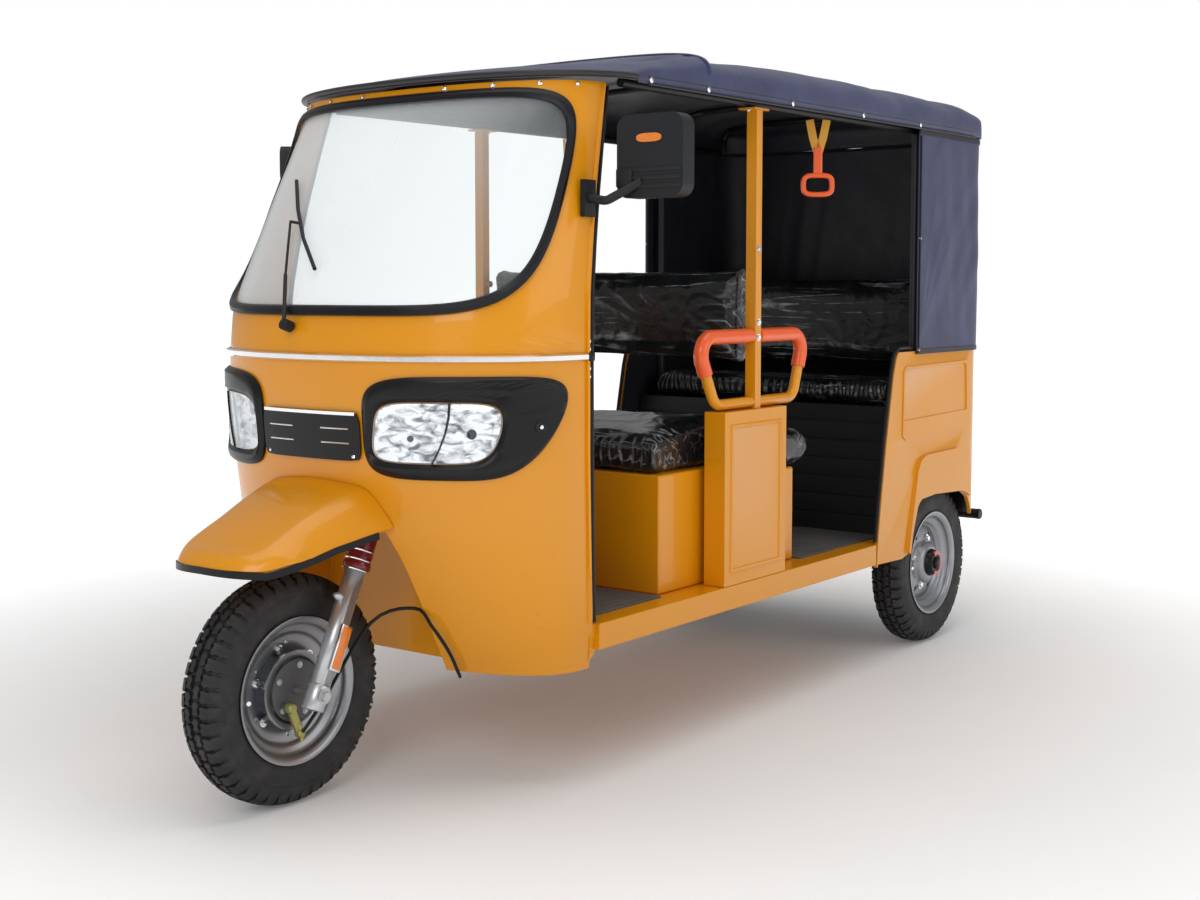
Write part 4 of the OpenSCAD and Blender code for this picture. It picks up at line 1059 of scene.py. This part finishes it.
def curtain_plan(s):
    """The curtain's line in plan: along the left side, round the tail and back. s runs 0 to 1."""
    r, tail, wide, front = 124, -318, 504, 223
    run = front - (tail + r)
    arc = math.pi / 2 * r
    back = 2 * (wide - r)
    d = s * (2 * run + 2 * arc + back)
    if d < run:
        return (front - d, wide), (0, 1)
    d -= run
    if d < arc:
        a = d / r
        return (tail + r - r * math.sin(a), wide - r + r * math.cos(a)), (-math.sin(a), math.cos(a))
    d -= arc
    if d < back:
        return (tail, wide - r - d), (-1, 0)
    d -= back
    if d < arc:
        a = d / r
        return (tail + r - r * math.cos(a), -(wide - r) - r * math.sin(a)), (-math.cos(a), -math.sin(a))
    d -= arc
    return (tail + r + d, -wide), (0, -1)


def rear_curtain():
    """The side and back curtains: one sheet with slack folds falling from the roof's hem."""
    bm = bmesh.new()
    bmesh.ops.create_grid(bm, x_segments=220, y_segments=56, size=1)
    for v in bm.verts:
        s, t = (v.co.x + 1) / 2, (v.co.y + 1) / 2
        (x, y), (nx, ny) = curtain_plan(s)
        z = 936 + 688 * t
        slack = math.sin(math.pi * min(1, max(0, t))) ** 0.7
        fold = noise.noise(Vector((s * 34 + t * 1.7, t * 1.3, 1.5))) * 4.2
        drag = noise.noise(Vector((s * 22 - t * 5.5, t * 3.0, 8.2))) * 3.4
        run, up = 223 - x, z - 944
        pulls = 0.0
        for lean in (57, 66, 76):
            a = math.radians(lean)
            off = run * math.sin(a) - up * math.cos(a)
            pulls += 3.6 * math.exp(-(off / 9) ** 2) * math.exp(-math.hypot(run, up) / 260) * (abs(y) > 380)
        out = 1.8 + slack * ((fold + drag) * min(1, 14 * s, 14 * (1 - s)) + pulls)
        v.co = at(x + nx * out, y + ny * out, z)
    sheet = put(bm, "curtain_sheet", "body", NAVY, LINING, slot="canvas", smooth=180)
    if sum(p.normal.x for p in sheet.data.polygons if p.center.x < CAD_BOX[0][0] + 0.1) > 0:
        sheet.data.flip_normals()
    thick = sheet.modifiers.new("cloth_thickness", "SOLIDIFY")
    thick.thickness = 0.002
    thick.offset = -1
    thick.material_offset = 1
    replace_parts(sheet, "canopy_curtains")
    hem = bmesh.new()
    for z in (944, 1612):
        line = [at(x + nx * 3, y + ny * 3, z) for (x, y), (nx, ny) in [curtain_plan(k / 120) for k in range(121)]]
        sweep(hem, line, [(-0.0015, -0.007), (0.0015, -0.007), (0.0015, 0.007), (-0.0015, 0.007)])
    for side in (1, -1):
        line = [at(218, side * 506.5, z) for z in range(940, 1611, 30)]
        sweep(hem, line, [(-0.006, -0.0014), (0.006, -0.0014), (0.006, 0.0014), (-0.006, 0.0014)])
    put(hem, "curtain_hems", "body", PIPING, slot="canvas")


def straps():
    """Two hanging handles: doubled webbing over the rail, a clasp and a rounded ring."""
    web, clasps, rings = bmesh.new(), bmesh.new(), bmesh.new()
    for side in (1, -1):
        hang = at(745, side * 446, 1426)
        across = Vector((-0.6, side * 0.8, 0))
        normal = across.cross(Vector((0, 0, 1)))
        for lean in (1, -1):
            line = [hang + Vector((0, 0, 0.084)), hang + across * 0.014 * lean + Vector((0, 0, 0.13)),
                    hang + across * 0.024 * lean + Vector((0, 0, 0.18))]
            sweep(web, line, [(-0.0012, -0.011), (0.0012, -0.011), (0.0012, 0.011), (-0.0012, 0.011)], normal=normal)
        sweep(clasps, [hang + Vector((0, 0, up)) for up in (0.030, 0.034, 0.100, 0.104)],
              [(0.0055 * spow(math.cos(a), 0.5), 0.0125 * spow(math.sin(a), 0.5)) for a in
               [math.tau * (k + 0.5) / 16 for k in range(16)]], normal=normal)
        loop = []
        for k in range(48):
            a = math.tau * k / 48
            loop.append(hang + across * 0.040 * spow(math.cos(a), 0.55) + Vector((0, 0, 0.0265 * spow(math.sin(a), 0.55))))
        sweep(rings, loop, [(0.008 * spow(math.cos(a), 0.8), 0.0075 * spow(math.sin(a), 0.8)) for a in
                            [math.tau * k / 12 for k in range(12)]], closed=True, normal=normal)
    piece = put(rings, "strap_rings", "body", ORANGE, slot="orange_plastic")
    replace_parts(piece, "hanging_straps")
    put(clasps, "strap_clasps", "body", ORANGE, slot="orange_plastic")
    put(web, "strap_webbing", "body", WEBBING, slot="orange_plastic")


# ---- cab and body details ----
def painted_shade_and_lining_inside(piece):
    """Lining black on the rear body's inner faces, a painted shade for the dark inside of the curtained rear, and on
    the posts that the rear curtain wraps.
    """
    piece.data.materials.append(LINING)
    for face in piece.data.polygons:
        inward = -math.copysign(1.0, face.center.y) * face.normal.y
        shaded_inner_wall = inward > 0.5 and abs(face.center.y) < HALF_W - 0.003
        back = face.normal.x > 0.5 and face.center.x < at(-280, 0, 0).x
        # the inner walls and the back's inner face take the black as painted shade
        if face.center.x < at(230, 0, 0).x and (piece.name.startswith("door_posts") or shaded_inner_wall or back):
            face.material_index = 1
        elif face.center.x < at(480, 0, 0).x and shaded_inner_wall:
            face.material_index = 1


def panels():
    dressed("nose_panel", PAINT, levels=2)
    dressed("windscreen_surround", PAINT, levels=2)
    dressed("front_fender", PAINT, levels=1)
    dressed("windscreen", GLASS, levels=1)
    dressed("rubber_seals", SEAL, levels=1)
    for node, material, edge in (
            ("floor_pan", PAINT, 0.003), ("wheel_well", PAINT, 0.002), ("dashboard", GRAIN_BLACK, 0.004),
            ("seat_box", PAINT, 0.006), ("side_panels", PAINT, 0.003), ("door_posts", PAINT, 0.002),
            ("rear_bench_base", GRAIN_BLACK, 0.003), ("rear_body", PAINT, 0.003), ("tail_lamps", RED, 0.006),
            ("chassis_frame", CHASSIS, 0.002), ("mirrors", GRAIN_BLACK, 0.006), ("wiper", GRAIN_BLACK, 0.001),
            ("canopy_frame", CHASSIS, 0), ("hoop_grips", ORANGE, 0.002), ("rear_bumper", CHASSIS, 0.002),
            ("drive_motor", CAST, 0.004), ("rear_axle", CHASSIS, 0.002)):
        piece = dressed(node, material, edge=edge)
        if node in ("rear_body", "door_posts"):
            painted_shade_and_lining_inside(piece)


FENDER_TIP = 2556
FENDER_HALF = [(2200, 208), (2400, 172)]
FENDER_LOW = [(2200, 616), (2346, 588), (2500, 545), (FENDER_TIP, 548)]


def fender_lip():
    """The black rubber lip that hangs from the fender's edge, along both sides and round the front."""
    edge = []
    for k in range(21):
        x = 2236 + (2400 - 2236) * k / 20
        edge.append((x, lookup(x, FENDER_HALF)))
    for k in range(1, 20):
        v = math.cos(math.pi / 2 * k / 20)
        edge.append((2400 + (FENDER_TIP - 2400) * math.sqrt(1 - v ** 2.6), 172 * v))
    line = edge + [(FENDER_TIP, 0.0)] + [(x, -y) for x, y in reversed(edge)]
    places = []
    for x, y in line:
        turn_in = 10 * max(0.0, 1 - abs(y) / 172) ** 0.3 if x > 2400 else 0
        places.append(at(x, y, lookup(x, FENDER_LOW) + turn_in - 3))
    bm = bmesh.new()
    sweep(bm, places, [(-0.003, -0.011), (0.002, -0.011), (0.003, 0.004), (-0.003, 0.004)])
    put(bm, "fender_lip", "body", SEAL, slot="rubber")


def cowl_corners():
    """The rounded gusset between each side of the nose and the sill behind it."""
    bm = bmesh.new()
    for side in (1, -1):
        rows = []
        for k in range(9):
            z = 274 + (377 - 274) * k / 8
            reach = 1837 - 34 * max(0.0, (z - 290) / 87) ** 0.6 if z > 290 else 1837
            wide = 500 + lookup(z, CAB_W) - 5
            rows.append([at(x, side * (wide - depth), z) for x, depth in
                         ((lookup(z, DOOR_X) + 6, 0), (reach, 3), (reach - 4, 10), (lookup(z, DOOR_X) + 6, 16))])
        made = [[bm.verts.new(p) for p in row] for row in rows]
        for a, b in zip(made, made[1:]):
            for k in range(4):
                bm.faces.new((a[k], a[(k + 1) % 4], b[(k + 1) % 4], b[k]))
        bm.faces.new(made[0])
        bm.faces.new(made[-1])
    put(bm, "cowl_corners", "body", PAINT, slot="yellow_paint")


def mirror_details():
    """Left: reflector, steps and glass. Right: the small turned head's glass and its clamp."""
    glow = bmesh.new()
    c = at(1826, 630, 1466)
    outline = [c + Vector((0.0008, 0.033 * spow(math.cos(a), 0.6), 0.0095 * spow(math.sin(a), 0.8)))
               for a in [math.tau * k / 32 for k in range(32)]]
    face = glow.faces.new([glow.verts.new(p) for p in outline])
    grown = bmesh.ops.extrude_face_region(glow, geom=[face])["geom"]
    bmesh.ops.translate(glow, verts=[g for g in grown if isinstance(g, bmesh.types.BMVert)], vec=(0.003, 0, 0))
    put(glow, "mirror_reflector", "body", AMBER, slot="orange_plastic")
    steps = bmesh.new()
    for z in (1398, 1380, 1362):
        block(steps, at(1822, 630 - 84, z - 5), at(1828.5, 630 + 84, z + 5), 0.002)
    block(steps, at(1820, 564 - 22, 1360), at(1832, 564 + 22, 1402), 0.004)
    put(steps, "mirror_steps", "body", GRAIN_BLACK, slot="black_plastic")
    glass = bmesh.new()
    block(glass, at(1778.6, 630 - 76, 1349), at(1782.2, 630 + 76, 1505), 0.001)
    small = block(glass, (-0.0191, -0.053, -0.040), (-0.0163, 0.053, 0.040), 0.001)
    turn = Matrix.Translation(at(1711, -643, 1471)) @ Matrix.Rotation(math.radians(-52), 4, "Z")
    bmesh.ops.transform(glass, matrix=turn, verts=small)
    put(glass, "mirror_glasses", "body", MIRROR_GLASS, slot="chrome")
    clamp = bmesh.new()
    for share in (0.30, 0.62):
        low, high = at(1856, -532, 1336), at(1716, -643, 1431)
        turned(clamp, low.lerp(high, share), low.lerp(high, share + 0.16),
               [(0, 0.0085), (0, 0.0125), (1, 0.0125), (1, 0.0085)], 20)
    put(clamp, "mirror_clamp", "body", CHROME, slot="chrome")


def small_hardware():
    bolts = bmesh.new()
    for side in (1, -1):
        for z in (1240, 1010, 1050):
            hex_head(bolts, at(1120, side * 483, z), Vector((0, side, 0)), 0.0065, 0.006)
        for x in (1094, 1146):
            hex_head(bolts, at(x, side * 466, 1597), Vector((0, 0, -1)), 0.005, 0.005)
    put(bolts, "post_bolts", "body", CHROME, slot="steel")
    mats = bmesh.new()
    block(mats, at(1500, -440, 378.3), at(1925, 440, 382.5), 0.0015)
    block(mats, at(310, -440, 378.3), at(812, 440, 382.5), 0.0015)
    put(mats, "floor_mats", "body", MAT, slot="rubber")
    caps = bmesh.new()
    for side in (1, -1):
        turned(caps, at(-373, side * 458, 371), at(-373, side * 468, 371),
               [(0, 0.0178), (0.7, 0.0178), (1, 0.0155), (1, 0)], 24)
    put(caps, "bumper_end_caps", "body", SEAL, slot="black_paint")


camera()
studio()
panels()
wheels()
fork_details()
brake_cable()
grips_and_levers()
headlamps()
grille_and_strips()
door_pillars()
cushions()
roof_canvas()
roof_trim()
rear_curtain()
straps()
mirror_details()
small_hardware()
fender_lip()
cowl_corners()
